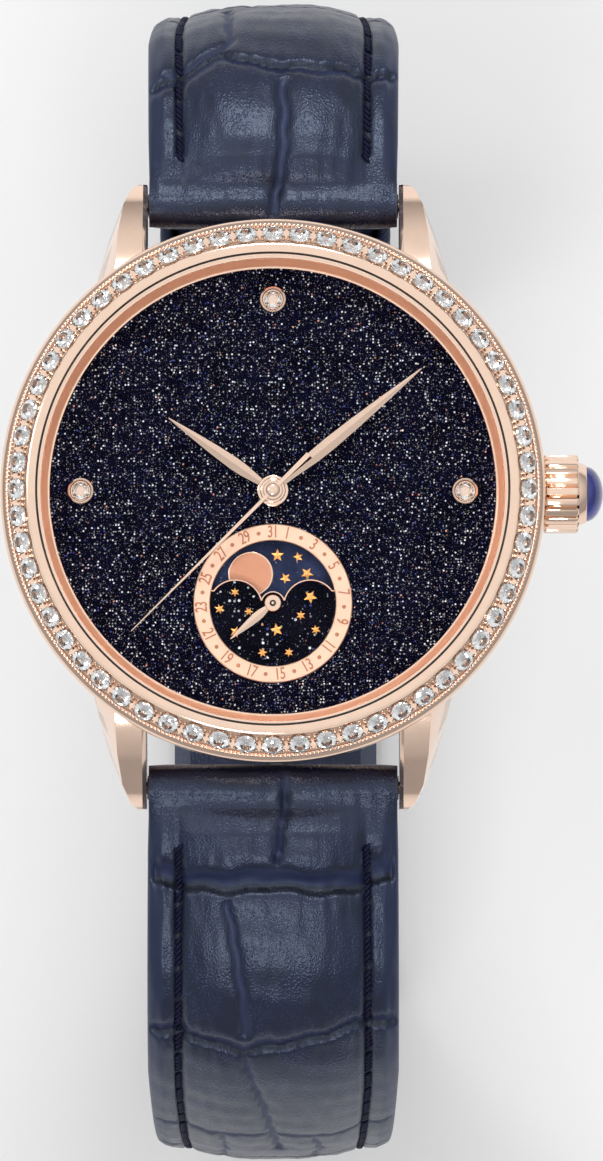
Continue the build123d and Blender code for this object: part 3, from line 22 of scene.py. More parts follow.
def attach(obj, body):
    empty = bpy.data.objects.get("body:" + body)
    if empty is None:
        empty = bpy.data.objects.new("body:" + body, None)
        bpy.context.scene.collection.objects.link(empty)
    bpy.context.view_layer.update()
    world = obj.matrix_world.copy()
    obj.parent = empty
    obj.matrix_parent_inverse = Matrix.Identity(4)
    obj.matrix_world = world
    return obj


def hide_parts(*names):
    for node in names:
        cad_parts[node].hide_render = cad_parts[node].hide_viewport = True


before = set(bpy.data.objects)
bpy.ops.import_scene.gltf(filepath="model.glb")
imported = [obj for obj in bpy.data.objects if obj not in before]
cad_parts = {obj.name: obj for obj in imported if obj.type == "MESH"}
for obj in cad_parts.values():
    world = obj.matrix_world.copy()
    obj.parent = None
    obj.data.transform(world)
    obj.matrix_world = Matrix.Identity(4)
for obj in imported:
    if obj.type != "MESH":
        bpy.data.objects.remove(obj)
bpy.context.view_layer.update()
LOG = logging.getLogger("moon_phase_watch")
MM = 0.001
FULL_TURN = 2 * math.pi
# Corners closer than this are one, in millimetres
WELD_GAP = 0.0004
# Two levels this close are the same, and a place past the second is off the middle line
SAME = 1e-5
CLEAR = 1e-4
# Level of the spring bars, heading of the leather at them in degrees, and depth of the buckle's level
BAR_LEVEL = 2.4
ROOT_HEADING = 12.0
FOOT_DEPTH = 49.9
Flat = tuple[float, float]
Point = tuple[float, float, float]
Colour = tuple[float, float, float]
Piece = bpy.types.Object
Material = bpy.types.Material
Node = bpy.types.Node
Socket = bpy.types.NodeSocket
Tree = bpy.types.NodeTree


class Part(Enum):
    """What a selection in edit mode picks."""

    VERTEX = "VERT"
    EDGE = "EDGE"
    FACE = "FACE"


class Grain(Enum):
    """Surface left on a metal by its last tool."""

    POLISHED = "polished"
    ROUND = "round"
    STRAIGHT = "straight"
    STRIPES = "stripes"
    SPOTS = "spots"


# Modelling steps


def deselect() -> None:
    """Leaves nothing selected."""
    bpy.ops.object.select_all(action="DESELECT")


def activate(piece: Piece) -> None:
    """Makes one piece the only selected and active one.

    Args:
        piece: The piece to work on.
    """
    deselect()
    piece.select_set(True)
    bpy.context.view_layer.objects.active = piece


def primitive(name: str, add: Callable[..., object], **values: object) -> Piece:
    """Adds a primitive and puts its place in its mesh.

    Args:
        name: Name of the new piece.
        add: The operator that adds it.
        values: The operator's settings.

    Returns:
        The new piece, at the origin.
    """
    deselect()
    add(**values)
    piece = bpy.context.object
    piece.name = name
    piece.data.name = name
    activate(piece)
    bpy.ops.object.transform_apply(location=True, rotation=True, scale=True)
    return piece


@contextmanager
def editing(piece: Piece) -> Iterator[None]:
    """Opens a piece in edit mode with all of it selected, and closes it again.

    Args:
        piece: The piece to edit.

    Yields:
        Nothing, while the piece is open.
    """
    activate(piece)
    bpy.ops.object.mode_set(mode="EDIT")
    bpy.ops.mesh.select_mode(type="VERT")
    bpy.ops.mesh.select_all(action="SELECT")
    yield
    bpy.ops.object.mode_set(mode="OBJECT")


def pick(part: Part, test: Callable[[object], bool]) -> None:
    """Selects the vertices, edges or faces of the piece in edit mode that pass a test.

    Args:
        part: What is picked.
        test: Says whether a bmesh element is picked.
    """
    bpy.ops.mesh.select_mode(type=part.value)
    bpy.ops.mesh.select_all(action="DESELECT")
    data = bpy.context.edit_object.data
    mesh = bmesh.from_edit_mesh(data)
    for row in {Part.VERTEX: mesh.verts, Part.EDGE: mesh.edges, Part.FACE: mesh.faces}[part]:
        if test(row):
            row.select_set(True)
    mesh.select_flush_mode()
    bmesh.update_edit_mesh(data)


def middle(edge: object) -> Vector:
    """Middle of a bmesh edge."""
    return (edge.verts[0].co + edge.verts[1].co) / 2


def outward() -> None:
    """Merges the doubles of the piece in edit mode and turns its faces outwards."""
    bpy.ops.mesh.select_mode(type="VERT")
    bpy.ops.mesh.select_all(action="SELECT")
    bpy.ops.mesh.remove_doubles(threshold=WELD_GAP)
    bpy.ops.mesh.normals_make_consistent(inside=False)


def trace(name: str, points: Sequence[Point], closed: bool = False) -> Piece:
    """Draws a line by extruding one corner from point to point.

    Args:
        name: Name of the new piece.
        points: Points of the line, in millimetres.
        closed: Whether the last point is joined to the first.

    Returns:
        The piece, with edges only.
    """
    piece = primitive(name, bpy.ops.mesh.primitive_plane_add, size=1.0)
    with editing(piece):
        bpy.ops.mesh.merge(type="CENTER")
        bpy.ops.transform.translate(value=points[0])
        for here, there in zip(points, points[1:]):
            step = Vector(there) - Vector(here)
            bpy.ops.mesh.extrude_vertices_move(TRANSFORM_OT_translate={"value": step})
        if closed:
            pick(Part.VERTEX, lambda vertex: len(vertex.link_edges) == 1)
            bpy.ops.mesh.edge_face_add()
    return piece


def lathe(name: str, profile: Sequence[Flat], steps: int = 128, closed: bool = True) -> Piece:
    """Spins a profile about the upright axis.

    Args:
        name: Name of the new piece.
        profile: Points of radius and level, in millimetres.
        steps: Number of steps in a full turn.
        closed: Whether the profile is a closed loop, as for a ring.

    Returns:
        The turned piece.
    """
    piece = trace(name, [(radius, 0, level) for radius, level in profile], closed)
    with editing(piece):
        bpy.ops.mesh.spin(steps=steps, angle=FULL_TURN, center=(0, 0, 0), axis=(0, 0, 1))
        outward()
    return piece


def slab(name: str, points: Sequence[Flat], level: float, height: float, bevel: float = 0.0,
         rounds: int = 1) -> Piece:
    """Raises a flat outline to a plate and rounds its upper edges.

    Args:
        name: Name of the new piece.
        points: Outline, in millimetres.
        level: Level of the lower face.
        height: Height of the plate.
        bevel: Width of the rounding of the upper rim.
        rounds: Number of steps in the rounding.

    Returns:
        The plate.
    """
    piece = trace(name, [(x, y, level) for x, y in points], closed=True)
    with editing(piece):
        bpy.ops.mesh.edge_face_add()
        bpy.ops.mesh.extrude_region_move(TRANSFORM_OT_translate={"value": (0, 0, height)})
        outward()
        if bevel:
            top = level + height - bevel / 4
            pick(Part.EDGE, lambda edge: min(vertex.co.z for vertex in edge.verts) > top)
            bpy.ops.mesh.bevel(offset=bevel, segments=rounds, affect="EDGES")
    return piece


def finished(piece: Piece, kind: str, **settings: object) -> None:
    """Adds a modifier and applies it.

    Args:
        piece: The piece to change.
        kind: Kind of modifier.
        settings: The modifier's settings.
    """
    activate(piece)
    modifier = piece.modifiers.new(kind.lower(), kind)
    for key, value in settings.items():
        setattr(modifier, key, value)
    bpy.ops.object.modifier_apply(modifier=modifier.name)


def joined(name: str, pieces: Sequence[Piece]) -> Piece:
    """Joins pieces into the first of them.

    Args:
        name: Name of the joined piece.
        pieces: The pieces, at least one.

    Returns:
        The joined piece.
    """
    activate(pieces[0])
    for piece in pieces:
        piece.select_set(True)
    if len(pieces) > 1:
        bpy.ops.object.join()
    pieces[0].name = name
    pieces[0].data.name = name
    return pieces[0]


def repeated(name: str, pattern: Piece, places: Iterable[Matrix]) -> Piece:
    """Copies a pattern piece to each place, each copy with its own mesh, and joins the copies.

    Args:
        name: Name of the joined piece.
        pattern: The piece to copy, which is used up.
        places: Where the copies go.

    Returns:
        The joined copies.
    """
    copies = []
    for place in places:
        copy = pattern.copy()
        copy.data = pattern.data.copy()
        bpy.context.scene.collection.objects.link(copy)
        copy.data.transform(place)
        copies.append(copy)
    bpy.data.objects.remove(pattern)
    return joined(name, copies)


def about_z(degrees: float) -> Matrix:
    """Turn about the upright axis, anticlockwise in degrees."""
    return Matrix.Rotation(math.radians(degrees), 4, "Z")


def at(x: float, y: float, z: float) -> Matrix:
    """Move to a place, in millimetres."""
    return Matrix.Translation((x, y, z))


def clock_point(radius: float, clockwise: float) -> Flat:
    """Place at a radius and an angle clockwise from 12 o'clock, in degrees."""
    turn = math.radians(90 - clockwise)
    return (radius * math.cos(turn), radius * math.sin(turn))


def settle(piece: Piece, finish: Material, body: str,
           replaced: Sequence[str] = (), smooth: float = 30.0) -> None:
    """Brings a piece to metres, gives it its finish and lets it ride on its body.

    Args:
        piece: The piece, modelled in millimetres.
        finish: Its material.
        body: The body that it rides on.
        replaced: Nodes that the piece stands for.
        smooth: Edges sharper than this angle, in degrees, stay sharp.
    """
    piece.data.transform(Matrix.Scale(MM, 4))
    activate(piece)
    bpy.ops.object.shade_smooth_by_angle(angle=math.radians(smooth))
    if not piece.data.materials:
        piece.data.materials.append(finish)
    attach(piece, body)
    if replaced:
        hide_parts(*replaced)
    LOG.info("%s: %d faces on %s", piece.name, len(piece.data.polygons), body)


# Finishes


class Graph:
    """Node tree that is being wired."""

    def __init__(self, tree: Tree) -> None:
        """Keeps the tree."""
        self.tree = tree

    def add(self, kind: str, **values: object) -> Node:
        """Adds a node and sets its properties and sockets.

        Args:
            kind: Kind of node, without its prefix.
            values: Properties, or sockets with their spaces as underscores.

        Returns:
            The node.
        """
        node = self.tree.nodes.new("ShaderNode" + kind)
        for key, value in values.items():
            if hasattr(node, key):
                setattr(node, key, value)
            else:
                node.inputs[key.replace("_", " ")].default_value = value
        return node

    def join(self, source: Socket, target: Socket) -> None:
        """Joins an output to an input."""
        self.tree.links.new(source, target)

    def place(self) -> Socket:
        """Adds the object's own coordinates."""
        return self.add("TexCoord").outputs["Object"]

    def over(self, kind: str, source: Socket, **values: object) -> Node:
        """Adds a texture or a mapping over a place.

        Args:
            kind: Kind of node, without its prefix.
            source: The place.
            values: Properties or sockets, as for add.

        Returns:
            The node.
        """
        node = self.add(kind, **values)
        self.join(source, node.inputs["Vector"])
        return node

    def fill(self, socket: Socket, term: object) -> None:
        """Feeds an input.

        Args:
            socket: The input.
            term: An output, a colour or a number.
        """
        if isinstance(term, Socket):
            self.join(term, socket)
        else:
            socket.default_value = (*term, 1.0) if isinstance(term, tuple) else term

    def value(self, operation: str, *terms: object) -> Socket:
        """Adds a calculation on one or more terms.

        Args:
            operation: The Math node's operation.
            terms: Numbers or outputs.

        Returns:
            The result.
        """
        node = self.add("Math", operation=operation)
        for socket, term in zip(node.inputs, terms):
            self.fill(socket, term)
        return node.outputs[0]

    def blend(self, share: object, first: object, second: object) -> Socket:
        """Mixes two colours by a share.

        Args:
            share: Share of the second colour, a number or an output.
            first: Colour or output at share 0.
            second: Colour or output at share 1.

        Returns:
            The mixed colour.
        """
        node = self.add("Mix", data_type="RGBA")
        for index, term in ((0, share), (6, first), (7, second)):
            self.fill(node.inputs[index], term)
        return node.outputs[2]

    def between(self, source: Socket, low: float, high: float, start: float = 0.0,
                end: float = 1.0) -> Socket:
        """Maps a value from one range to another, clamped.

        Args:
            source: The value.
            low: Lowest value in.
            high: Highest value in.
            start: Value out at the lowest.
            end: Value out at the highest.

        Returns:
            The mapped value.
        """
        node = self.add("MapRange", From_Min=low, From_Max=high, To_Min=start, To_Max=end)
        self.join(source, node.inputs[0])
        return node.outputs[0]


class Effects:
    """Node groups that several finishes share, each built once."""

    def __init__(self) -> None:
        """Starts with no group built."""
        self.built: dict[str, Tree] = {}

    def group(self, name: str, inputs: dict[str, float], outputs: Sequence[str],
              wire: Callable[[Graph, Node, Node], None]) -> Tree:
        """Builds a group on its first use.

        Args:
            name: Name of the group.
            inputs: Names and first values of its inputs.
            outputs: Names of its outputs.
            wire: Wires the group between its input and output nodes.

        Returns:
            The group.
        """
        if name not in self.built:
            tree = bpy.data.node_groups.new(name, "ShaderNodeTree")
            for key, value in inputs.items():
                socket = tree.interface.new_socket(key, in_out="INPUT", socket_type="NodeSocketFloat")
                socket.default_value = value
            for key in outputs:
                tree.interface.new_socket(key, in_out="OUTPUT", socket_type="NodeSocketFloat")
            source = tree.nodes.new("NodeGroupInput")
            target = tree.nodes.new("NodeGroupOutput")
            wire(Graph(tree), source, target)
            self.built[name] = tree
        return self.built[name]

    def handling(self) -> Tree:
        """Faint smudges and hairline scratches of a thing that is handled.

        Returns:
            The group, with a roughness and a height.
        """

        def wire(graph: Graph, source: Node, target: Node) -> None:
            """Wires smudges to the roughness and hairlines to the height.

            Args:
                graph: The group's graph.
                source: Its input node.
                target: Its output node.
            """
            place = graph.place()
            smudge = graph.over("TexNoise", place, Scale=260.0, Detail=3.0)
            stretch = graph.over("Mapping", place, Rotation=(0.3, 0.2, 0.7), Scale=(250.0, 9000.0, 2500.0))
            hair = graph.over("TexNoise", stretch.outputs[0], Scale=1.0, Detail=2.0)
            spread = graph.between(smudge.outputs[0], 0.35, 0.7)
            extra = graph.value("MULTIPLY", spread, source.outputs["Wear"])
            graph.join(graph.value("ADD", extra, source.outputs["Roughness"]), target.inputs["Roughness"])
            graph.join(hair.outputs[0], target.inputs["Height"])

        return self.group("handling", {"Roughness": 0.1, "Wear": 0.05}, ("Roughness", "Height"), wire)

    def pebble(self) -> Tree:
        """Pebbled and finely wrinkled skin of embossed leather.

        Returns:
            The group, with a height and soft patches for the tone.
        """

        def wire(graph: Graph, source: Node, target: Node) -> None:
            """Wires cells and wrinkles, in the piece's own surface lengths, to the height.

            Args:
                graph: The group's graph.
                source: Its input node.
                target: Its output node.
            """
            surface = graph.add("Attribute", attribute_name="skin").outputs["Vector"]
            cells = graph.over("TexVoronoi", surface, feature="SMOOTH_F1", Smoothness=0.35)
            graph.join(source.outputs["Scale"], cells.inputs["Scale"])
            drawn = graph.over("Mapping", surface, Scale=(2.4, 0.6, 1.0))
            wrinkle = graph.over("TexNoise", drawn.outputs[0], Scale=2.6, Detail=6.0, Roughness=0.62,
                                 Distortion=0.5)
            lump = graph.over("TexNoise", surface, Scale=0.5, Detail=2.0)
            dome = graph.between(cells.outputs[0], 0.0, 0.6, 1.0, 0.0)
            share = graph.between(lump.outputs[0], 0.4, 0.6, 0.35, 1.0)
            high = graph.value("MULTIPLY", dome, share)
            fold = graph.value("MULTIPLY", wrinkle.outputs[0], source.outputs["Wrinkle"])
            graph.join(graph.value("ADD", high, fold), target.inputs["Height"])
            graph.join(lump.outputs[0], target.inputs["Patch"])

        return self.group("pebble", {"Scale": 3.4, "Wrinkle": 1.2}, ("Height", "Patch"), wire)

    def flakes(self) -> Tree:
        """Sparse bright flakes in a dark ground, seen one by one, their random brightness a painted glint.

        Returns:
            The group, with a mask, a hue and a light.
        """

        def wire(graph: Graph, source: Node, target: Node) -> None:
            """Wires the flakes that pass the limit to a mask, with their hue and light.

            Args:
                graph: The group's graph.
                source: Its input node.
                target: Its output node.
            """
            place = graph.place()
            cells = graph.over("TexVoronoi", place, voronoi_dimensions="2D")
            graph.join(source.outputs["Scale"], cells.inputs["Scale"])
            parts = graph.add("SeparateColor")
            graph.join(cells.outputs["Color"], parts.inputs[0])
            keep = graph.value("GREATER_THAN", parts.outputs[0], source.outputs["Limit"])
            radius = graph.between(parts.outputs[1], 0.0, 1.0, 0.10, 0.30)
            inside = graph.value("LESS_THAN", cells.outputs["Distance"], radius)
            graph.join(graph.value("MULTIPLY", keep, inside), target.inputs["Mask"])
            graph.join(parts.outputs[2], target.inputs["Hue"])
            graph.join(graph.value("POWER", parts.outputs[1], 2.2), target.inputs["Light"])

        return self.group("flakes", {"Scale": 4000.0, "Limit": 0.6}, ("Mask", "Hue", "Light"), wire)


EFFECTS = Effects()


def scaled(colour: Colour, share: float) -> Colour:
    """Colour times a share, at most 1."""
    return tuple(min(1.0, value * share) for value in colour)


def blank(name: str, **values: object) -> tuple[Material, Graph, Node]:
    """Starts a material.

    Args:
        name: Name of the material.
        values: The shader's sockets, with their spaces as underscores.

    Returns:
        The material, its graph and its shader.
    """
    material = bpy.data.materials.new(name)
    material.use_nodes = True
    shader = material.node_tree.nodes["Principled BSDF"]
    for key, value in values.items():
        shader.inputs[key.replace("_", " ")].default_value = value
    return material, Graph(material.node_tree), shader


def use_group(graph: Graph, tree: Tree, **values: float) -> Node:
    """Places a shared group in a material.

    Args:
        graph: The material's graph.
        tree: The group.
        values: The group's inputs.

    Returns:
        The group's node.
    """
    node = graph.tree.nodes.new("ShaderNodeGroup")
    node.node_tree = tree
    for key, value in values.items():
        node.inputs[key].default_value = value
    return node


def raise_surface(graph: Graph, shader: Node, height: Socket, depth: float) -> None:
    """Feeds a height to the shader's normal.

    Args:
        graph: The material's graph.
        shader: The shader.
        height: The height, from 0 to 1.
        depth: What a height of 1 stands for, in millimetres.
    """
    bump = graph.add("Bump", Strength=1.0, Distance=depth * MM)
    graph.join(height, bump.inputs["Height"])
    graph.join(bump.outputs[0], shader.inputs["Normal"])


@dataclass(frozen=True)
class Metal:
    """A metal with the grain that its last tool left."""

    name: str
    colour: Colour
    roughness: float = 0.12
    wear: float = 0.05
    grain: Grain = Grain.POLISHED
    depth: float = 0.002
    pitch: float = 1.0
    dark: float = 0.95
    hairlines: float = 0.15

    def height(self, graph: Graph) -> Socket:
        """Wires the grain's height.

        Args:
            graph: The material's graph.

        Returns:
            The height.
        """
        place = graph.place()
        if self.grain is Grain.ROUND:
            parts = graph.add("SeparateXYZ")
            graph.join(place, parts.inputs[0])
            flat = graph.value("ADD", graph.value("POWER", parts.outputs[0], 2.0),
                               graph.value("POWER", parts.outputs[1], 2.0))
            rings = graph.add("TexNoise", noise_dimensions="1D", Scale=14000.0 / self.pitch, Detail=4.0)
            graph.join(graph.value("SQRT", flat), rings.inputs["W"])
            return rings.outputs[0]
        if self.grain is Grain.STRIPES:
            bands = graph.over("TexWave", place, wave_profile="SAW", bands_direction="DIAGONAL",
                               Scale=160.0 / self.pitch, Distortion=0.0)
            return bands.outputs["Fac"]
        if self.grain is Grain.SPOTS:
            cells = graph.over("TexVoronoi", place, voronoi_dimensions="2D", Scale=1250.0 / self.pitch,
                               Randomness=0.15)
            rings = graph.value("SINE", graph.value("MULTIPLY", cells.outputs["Distance"], 40.0))
            return graph.between(rings, -1.0, 1.0)
        scale = (300.0, 12000.0, 300.0) if self.grain is Grain.STRAIGHT else (900.0, 900.0, 900.0)
        stretch = graph.over("Mapping", place, Scale=scale)
        noise = graph.over("TexNoise", stretch.outputs[0], Scale=1.0, Detail=5.0)
        return noise.outputs[0]

    def build(self) -> Material:
        """Builds the material.

        Returns:
            The material.
        """
        material, graph, shader = blank(self.name, Metallic=1.0)
        handling = use_group(graph, EFFECTS.handling(), Roughness=self.roughness, Wear=self.wear)
        graph.join(handling.outputs["Roughness"], shader.inputs["Roughness"])
        height = self.height(graph)
        dark = scaled(self.colour, self.dark)
        share = graph.between(height, 0.3, 0.7)
        graph.join(graph.blend(share, dark, self.colour), shader.inputs["Base Color"])
        scratches = graph.value("MULTIPLY", handling.outputs["Height"], self.hairlines)
        raise_surface(graph, shader, graph.value("ADD", height, scratches), self.depth)
        return material


@dataclass(frozen=True)
class StarGlass:
    """Dark glass or enamel with metal flakes, some white, some blue and a few warm, painted bright in the
    base colour as painted glints.
    """

    name: str
    ground: Colour
    scale: float
    limit: float
    light: float
    roughness: float = 0.18
    white: Colour = (0.90, 0.93, 1.0)
    blue: Colour = (0.07, 0.09, 0.34)
    warm: Colour = (0.9, 0.42, 0.3)
    blue_below: float = 0.28
    warm_above: float = 0.955

    def build(self) -> Material:
        """Builds the material.

        Returns:
            The material.
        """
        material, graph, shader = blank(self.name, Roughness=self.roughness, Specular_IOR_Level=0.02)
        cloud = graph.over("TexNoise", graph.place(), Scale=420.0, Detail=4.0)
        deep = scaled(self.ground, 0.45)
        ground = graph.blend(graph.between(cloud.outputs[0], 0.35, 0.65), deep, self.ground)
        colour = ground
        for scale, limit, gain in ((self.scale, self.limit, 1.0), (self.scale * 1.9, self.limit + 0.1, 0.45)):
            flakes = use_group(graph, EFFECTS.flakes(), Scale=scale, Limit=limit)
            hue = flakes.outputs["Hue"]
            cool = graph.blend(graph.value("LESS_THAN", hue, self.blue_below), self.white, self.blue)
            shown = graph.blend(graph.value("GREATER_THAN", hue, self.warm_above), cool, self.warm)
            # Painted glints: each flake's base colour is lifted towards white by its random light.
            glint_colour = graph.blend(graph.value("MULTIPLY", flakes.outputs["Light"], self.light * gain),
                              self.ground, shown)
            colour = graph.blend(flakes.outputs["Mask"], colour, glint_colour)
        graph.join(colour, shader.inputs["Base Color"])
        return material


@dataclass(frozen=True)
class Glass:
    """Clear glass that lets lamp light through to what lies below it."""

    name: str
    colour: Colour
    ior: float
    roughness: float = 0.0
    passes_light: bool = True

    def build(self) -> Material:
        """Builds the material.

        Returns:
            The material.
        """
        material, graph, shader = blank(self.name, Transmission_Weight=1.0, IOR=self.ior,
                                        Roughness=self.roughness)
        dust = graph.over("TexNoise", graph.place(), Scale=900.0, Detail=4.0)
        faint = scaled(self.colour, 0.985)
        graph.join(graph.blend(graph.between(dust.outputs[0], 0.4, 0.75), self.colour, faint),
                   shader.inputs["Base Color"])
        if self.passes_light:
            clear = graph.add("BsdfTransparent")
            mix = graph.add("MixShader")
            rays = graph.add("LightPath")
            share = graph.value("MAXIMUM", rays.outputs["Is Shadow Ray"], rays.outputs["Is Diffuse Ray"])
            graph.join(share, mix.inputs[0])
            graph.join(shader.outputs[0], mix.inputs[1])
            graph.join(clear.outputs[0], mix.inputs[2])
            output = material.node_tree.nodes["Material Output"]
            graph.join(mix.outputs[0], output.inputs["Surface"])
        return material


@dataclass(frozen=True)
class Polish:
    """Plain glossy stone, enamel or rubber."""

    name: str
    colour: Colour
    roughness: float
    coat: float = 0.0
    mottle: float = 0.25
    scale: float = 700.0

    def build(self) -> Material:
        """Builds the material.

        Returns:
            The material.
        """
        material, graph, shader = blank(self.name, Roughness=self.roughness, Coat_Weight=self.coat)
        noise = graph.over("TexNoise", graph.place(), Scale=self.scale, Detail=5.0)
        dark = scaled(self.colour, 1 - self.mottle)
        graph.join(graph.blend(graph.between(noise.outputs[0], 0.3, 0.7), dark, self.colour),
                   shader.inputs["Base Color"])
        raise_surface(graph, shader, noise.outputs[0], 0.002)
        return material


@dataclass(frozen=True)
class Leather:
    """Embossed leather, glossy on its scales and lighter in its creases, with a painted highlight on its
    pebble tops, painted shadow along its crease walls and seam channels, and a lighter cut edge that is
    partly edge paint and partly a painted rim highlight.
    """

    name: str
    colour: Colour
    crease: Colour
    edge: Colour
    roughness: float = 0.21
    scale: float = 6.4
    wrinkle: float = 1.0
    depth: float = 0.022

    def build(self) -> Material:
        """Builds the material.

        Returns:
            The material.
        """
        material, graph, shader = blank(self.name, Specular_IOR_Level=0.80,
                                        Specular_Tint=(0.62, 0.74, 1.0, 1.0))
        skin = use_group(graph, EFFECTS.pebble(), Scale=self.scale, Wrinkle=self.wrinkle)
        dark = scaled(self.colour, 0.62)
        ground = graph.blend(graph.between(skin.outputs["Patch"], 0.35, 0.65), dark, self.colour)
        crease, edge, painted_shade = (graph.add("Attribute", attribute_name=mark).outputs["Fac"]
                               for mark in ("crease", "edge", "painted_shade"))
        # Painted highlight: the pebble tops are painted lighter, standing in for the lamps' glints on the
        # grain.
        highlight_tone = scaled(self.colour, 2.4)
        highlit_tops = graph.blend(graph.between(skin.outputs["Height"], 0.7, 1.5), ground, highlight_tone)
        # The shade mask paints near-black: painted shadow in the creases' far walls and along the seam
        # channels.
        creased_and_shaded = graph.blend(painted_shade, graph.blend(crease, highlit_tops, self.crease), (0.0006, 0.0007, 0.0018))
        # The cut edge's lighter colour is partly edge paint and partly a painted rim highlight.
        graph.join(graph.blend(edge, creased_and_shaded, self.edge), shader.inputs["Base Color"])
        rough = graph.between(skin.outputs["Height"], 0.3, 1.6, self.roughness + 0.16, self.roughness)
        dull = graph.value("MULTIPLY", graph.value("MAXIMUM", crease, painted_shade), 0.22)
        graph.join(graph.value("ADD", rough, dull), shader.inputs["Roughness"])
        grained = graph.between(crease, 0.0, 0.42, 1.0, 0.16)
        raise_surface(graph, shader, graph.value("MULTIPLY", skin.outputs["Height"], grained), self.depth)
        return material


@dataclass(frozen=True)
class Thread:
    """Waxed linen thread with fine fibres."""

    name: str
    colour: Colour

    def build(self) -> Material:
        """Builds the material.

        Returns:
            The material.
        """
        material, graph, shader = blank(self.name, Roughness=0.55, Specular_IOR_Level=0.15)
        stretch = graph.over("Mapping", graph.place(), Rotation=(0.0, 0.0, 0.6),
                             Scale=(22000.0, 3500.0, 9000.0))
        fibre = graph.over("TexNoise", stretch.outputs[0], Scale=1.0, Detail=2.0)
        pale = scaled(self.colour, 2.6)
        graph.join(graph.blend(graph.between(fibre.outputs[0], 0.4, 0.7), self.colour, pale),
                   shader.inputs["Base Color"])
        raise_surface(graph, shader, fibre.outputs[0], 0.03)
        return material


class Finishes:
    """All the watch's finishes, built once."""

    def __init__(self) -> None:
        """Builds every finish."""
        rose = (0.93, 0.69, 0.545)
        self.rose_gold = Metal("rose_gold_polished", rose, 0.07, 0.04).build()
        self.rose_brushed = Metal("rose_gold_brushed", rose, 0.24, 0.08, Grain.ROUND, 0.0015).build()
        self.rose_satin = Metal("rose_gold_satin", (0.79, 0.53, 0.39), 0.42, 0.05, depth=0.003).build()
        self.rose_slope = Metal("rose_gold_slope", (1.0, 0.56, 0.36), 0.8, 0.04, depth=0.002).build()
        self.rose_engraved = Metal("rose_gold_engraved", (0.42, 0.17, 0.10), 0.5, 0.05, depth=0.004).build()
        self.moon_gold = Metal("moon_gold", (0.54, 0.26, 0.165), 0.5, 0.05, depth=0.006).build()
        self.star_gold = Metal("star_gold", (0.70, 0.33, 0.10), 0.40, 0.05).build()
        self.rotor_gold = Metal("rotor_gold", (0.85, 0.57, 0.40), 0.22, 0.05, Grain.STRIPES, 0.012,
                                0.8).build()
        self.plate = Metal("plate_spotted", (0.62, 0.61, 0.58), 0.22, 0.06, Grain.SPOTS, 0.006).build()
        self.bridge = Metal("bridge_striped", (0.66, 0.65, 0.62), 0.2, 0.05, Grain.STRIPES, 0.014,
                            0.9).build()
        self.steel = Metal("steel_polished", (0.62, 0.62, 0.63), 0.14, 0.06).build()
        self.steel_brushed = Metal("steel_brushed", (0.56, 0.56, 0.57), 0.28, 0.06, Grain.STRAIGHT).build()
        self.blued = Metal("steel_blued", (0.05, 0.10, 0.42), 0.16, 0.06).build()
        self.brass = Metal("wheel_brass", (0.83, 0.60, 0.28), 0.2, 0.06, Grain.ROUND).build()
        self.spring = Metal("spring_steel", (0.40, 0.42, 0.47), 0.2, 0.05, Grain.STRAIGHT).build()
        self.aventurine = StarGlass("aventurine", (0.0024, 0.0022, 0.0110), 5200.0, 0.47, 1.0).build()
        self.window = StarGlass("window_aventurine", (0.0045, 0.0045, 0.0105), 3350.0, 0.74, 1.0).build()
        self.sky = StarGlass("moon_sky", (0.040, 0.054, 0.125), 5200.0, 0.93, 0.25, 0.4).build()
        self.crystal = Glass("crystal_coated", (1.0, 1.0, 1.0), 1.05).build()
        self.back_glass = Glass("back_glass", (0.99, 1.0, 1.0), 1.25).build()
        self.diamond = Glass("diamond", (1.0, 1.0, 1.0), 2.2, 0.0, False).build()
        self.gasket = Polish("gasket_black", (0.010, 0.009, 0.009), 0.5).build()
        self.ruby = Polish("jewel_red", (0.42, 0.012, 0.045), 0.08, 0.8, 0.4).build()
        self.cabochon = Polish("cabochon_blue", (0.045, 0.060, 0.42), 0.06, 0.6, 0.93, 420.0).build()
        self.leather = Leather("navy_crocodile", (0.0042, 0.0062, 0.0250), (0.008, 0.013, 0.050),
                               (0.035, 0.042, 0.080)).build()
        self.thread = Thread("navy_thread", (0.0035, 0.0045, 0.0180)).build()


# Case


@dataclass
class Brilliant:
    """Round cut stone: its girdle on z = 0, its table up and its point down."""

    radius: float
    table: float
    crown: float
    depth: float

    def rings(self) -> list[tuple[int, float, float, float]]:
        """Rings of corners of the cut: how many, radius, level and first angle.

        Returns:
            One row for each ring, from the table down.
        """
        reach = self.radius
        return [
            (8, self.table, self.crown, 0.0),
            (8, self.table + (reach - self.table) * 0.52, self.crown * 0.62, 22.5),
            (16, reach, 0.015, 0.0),
            (16, reach, -0.015, 0.0),
            (8, reach * 0.26, -self.depth * 0.79, 22.5),
            (8, reach * 0.03, -self.depth, 0.0),
        ]

    def build(self, name: str) -> Piece:
        """Stacks the rings of corners and draws the facets over them.

        Args:
            name: Name of the new piece.

        Returns:
            The stone.
        """
        stone = joined(name, [
            primitive(name, bpy.ops.mesh.primitive_circle_add, vertices=count, radius=radius,
                      location=(0, 0, level), rotation=(0, 0, math.radians(first)))
            for count, radius, level, first in self.rings()])
        with editing(stone):
            bpy.ops.mesh.convex_hull()
            bpy.ops.mesh.normals_make_consistent(inside=False)
        return stone


def bead(name: str, radius: float, segments: int = 8, rings: int = 6) -> Piece:
    """Small round bead, flattened below as where it is pressed from its metal.

    Args:
        name: Name of the new piece.
        radius: Radius of the bead.
        segments: Corners round it.
        rings: Rows from pole to pole.

    Returns:
        The bead.
    """
    piece = primitive(name, bpy.ops.mesh.primitive_uv_sphere_add, segments=segments, ring_count=rings,
                      radius=radius)
    with editing(piece):
        bpy.ops.mesh.bisect(plane_co=(0, 0, -radius * 0.55), plane_no=(0, 0, 1), use_fill=True,
                            clear_inner=True)
    return piece


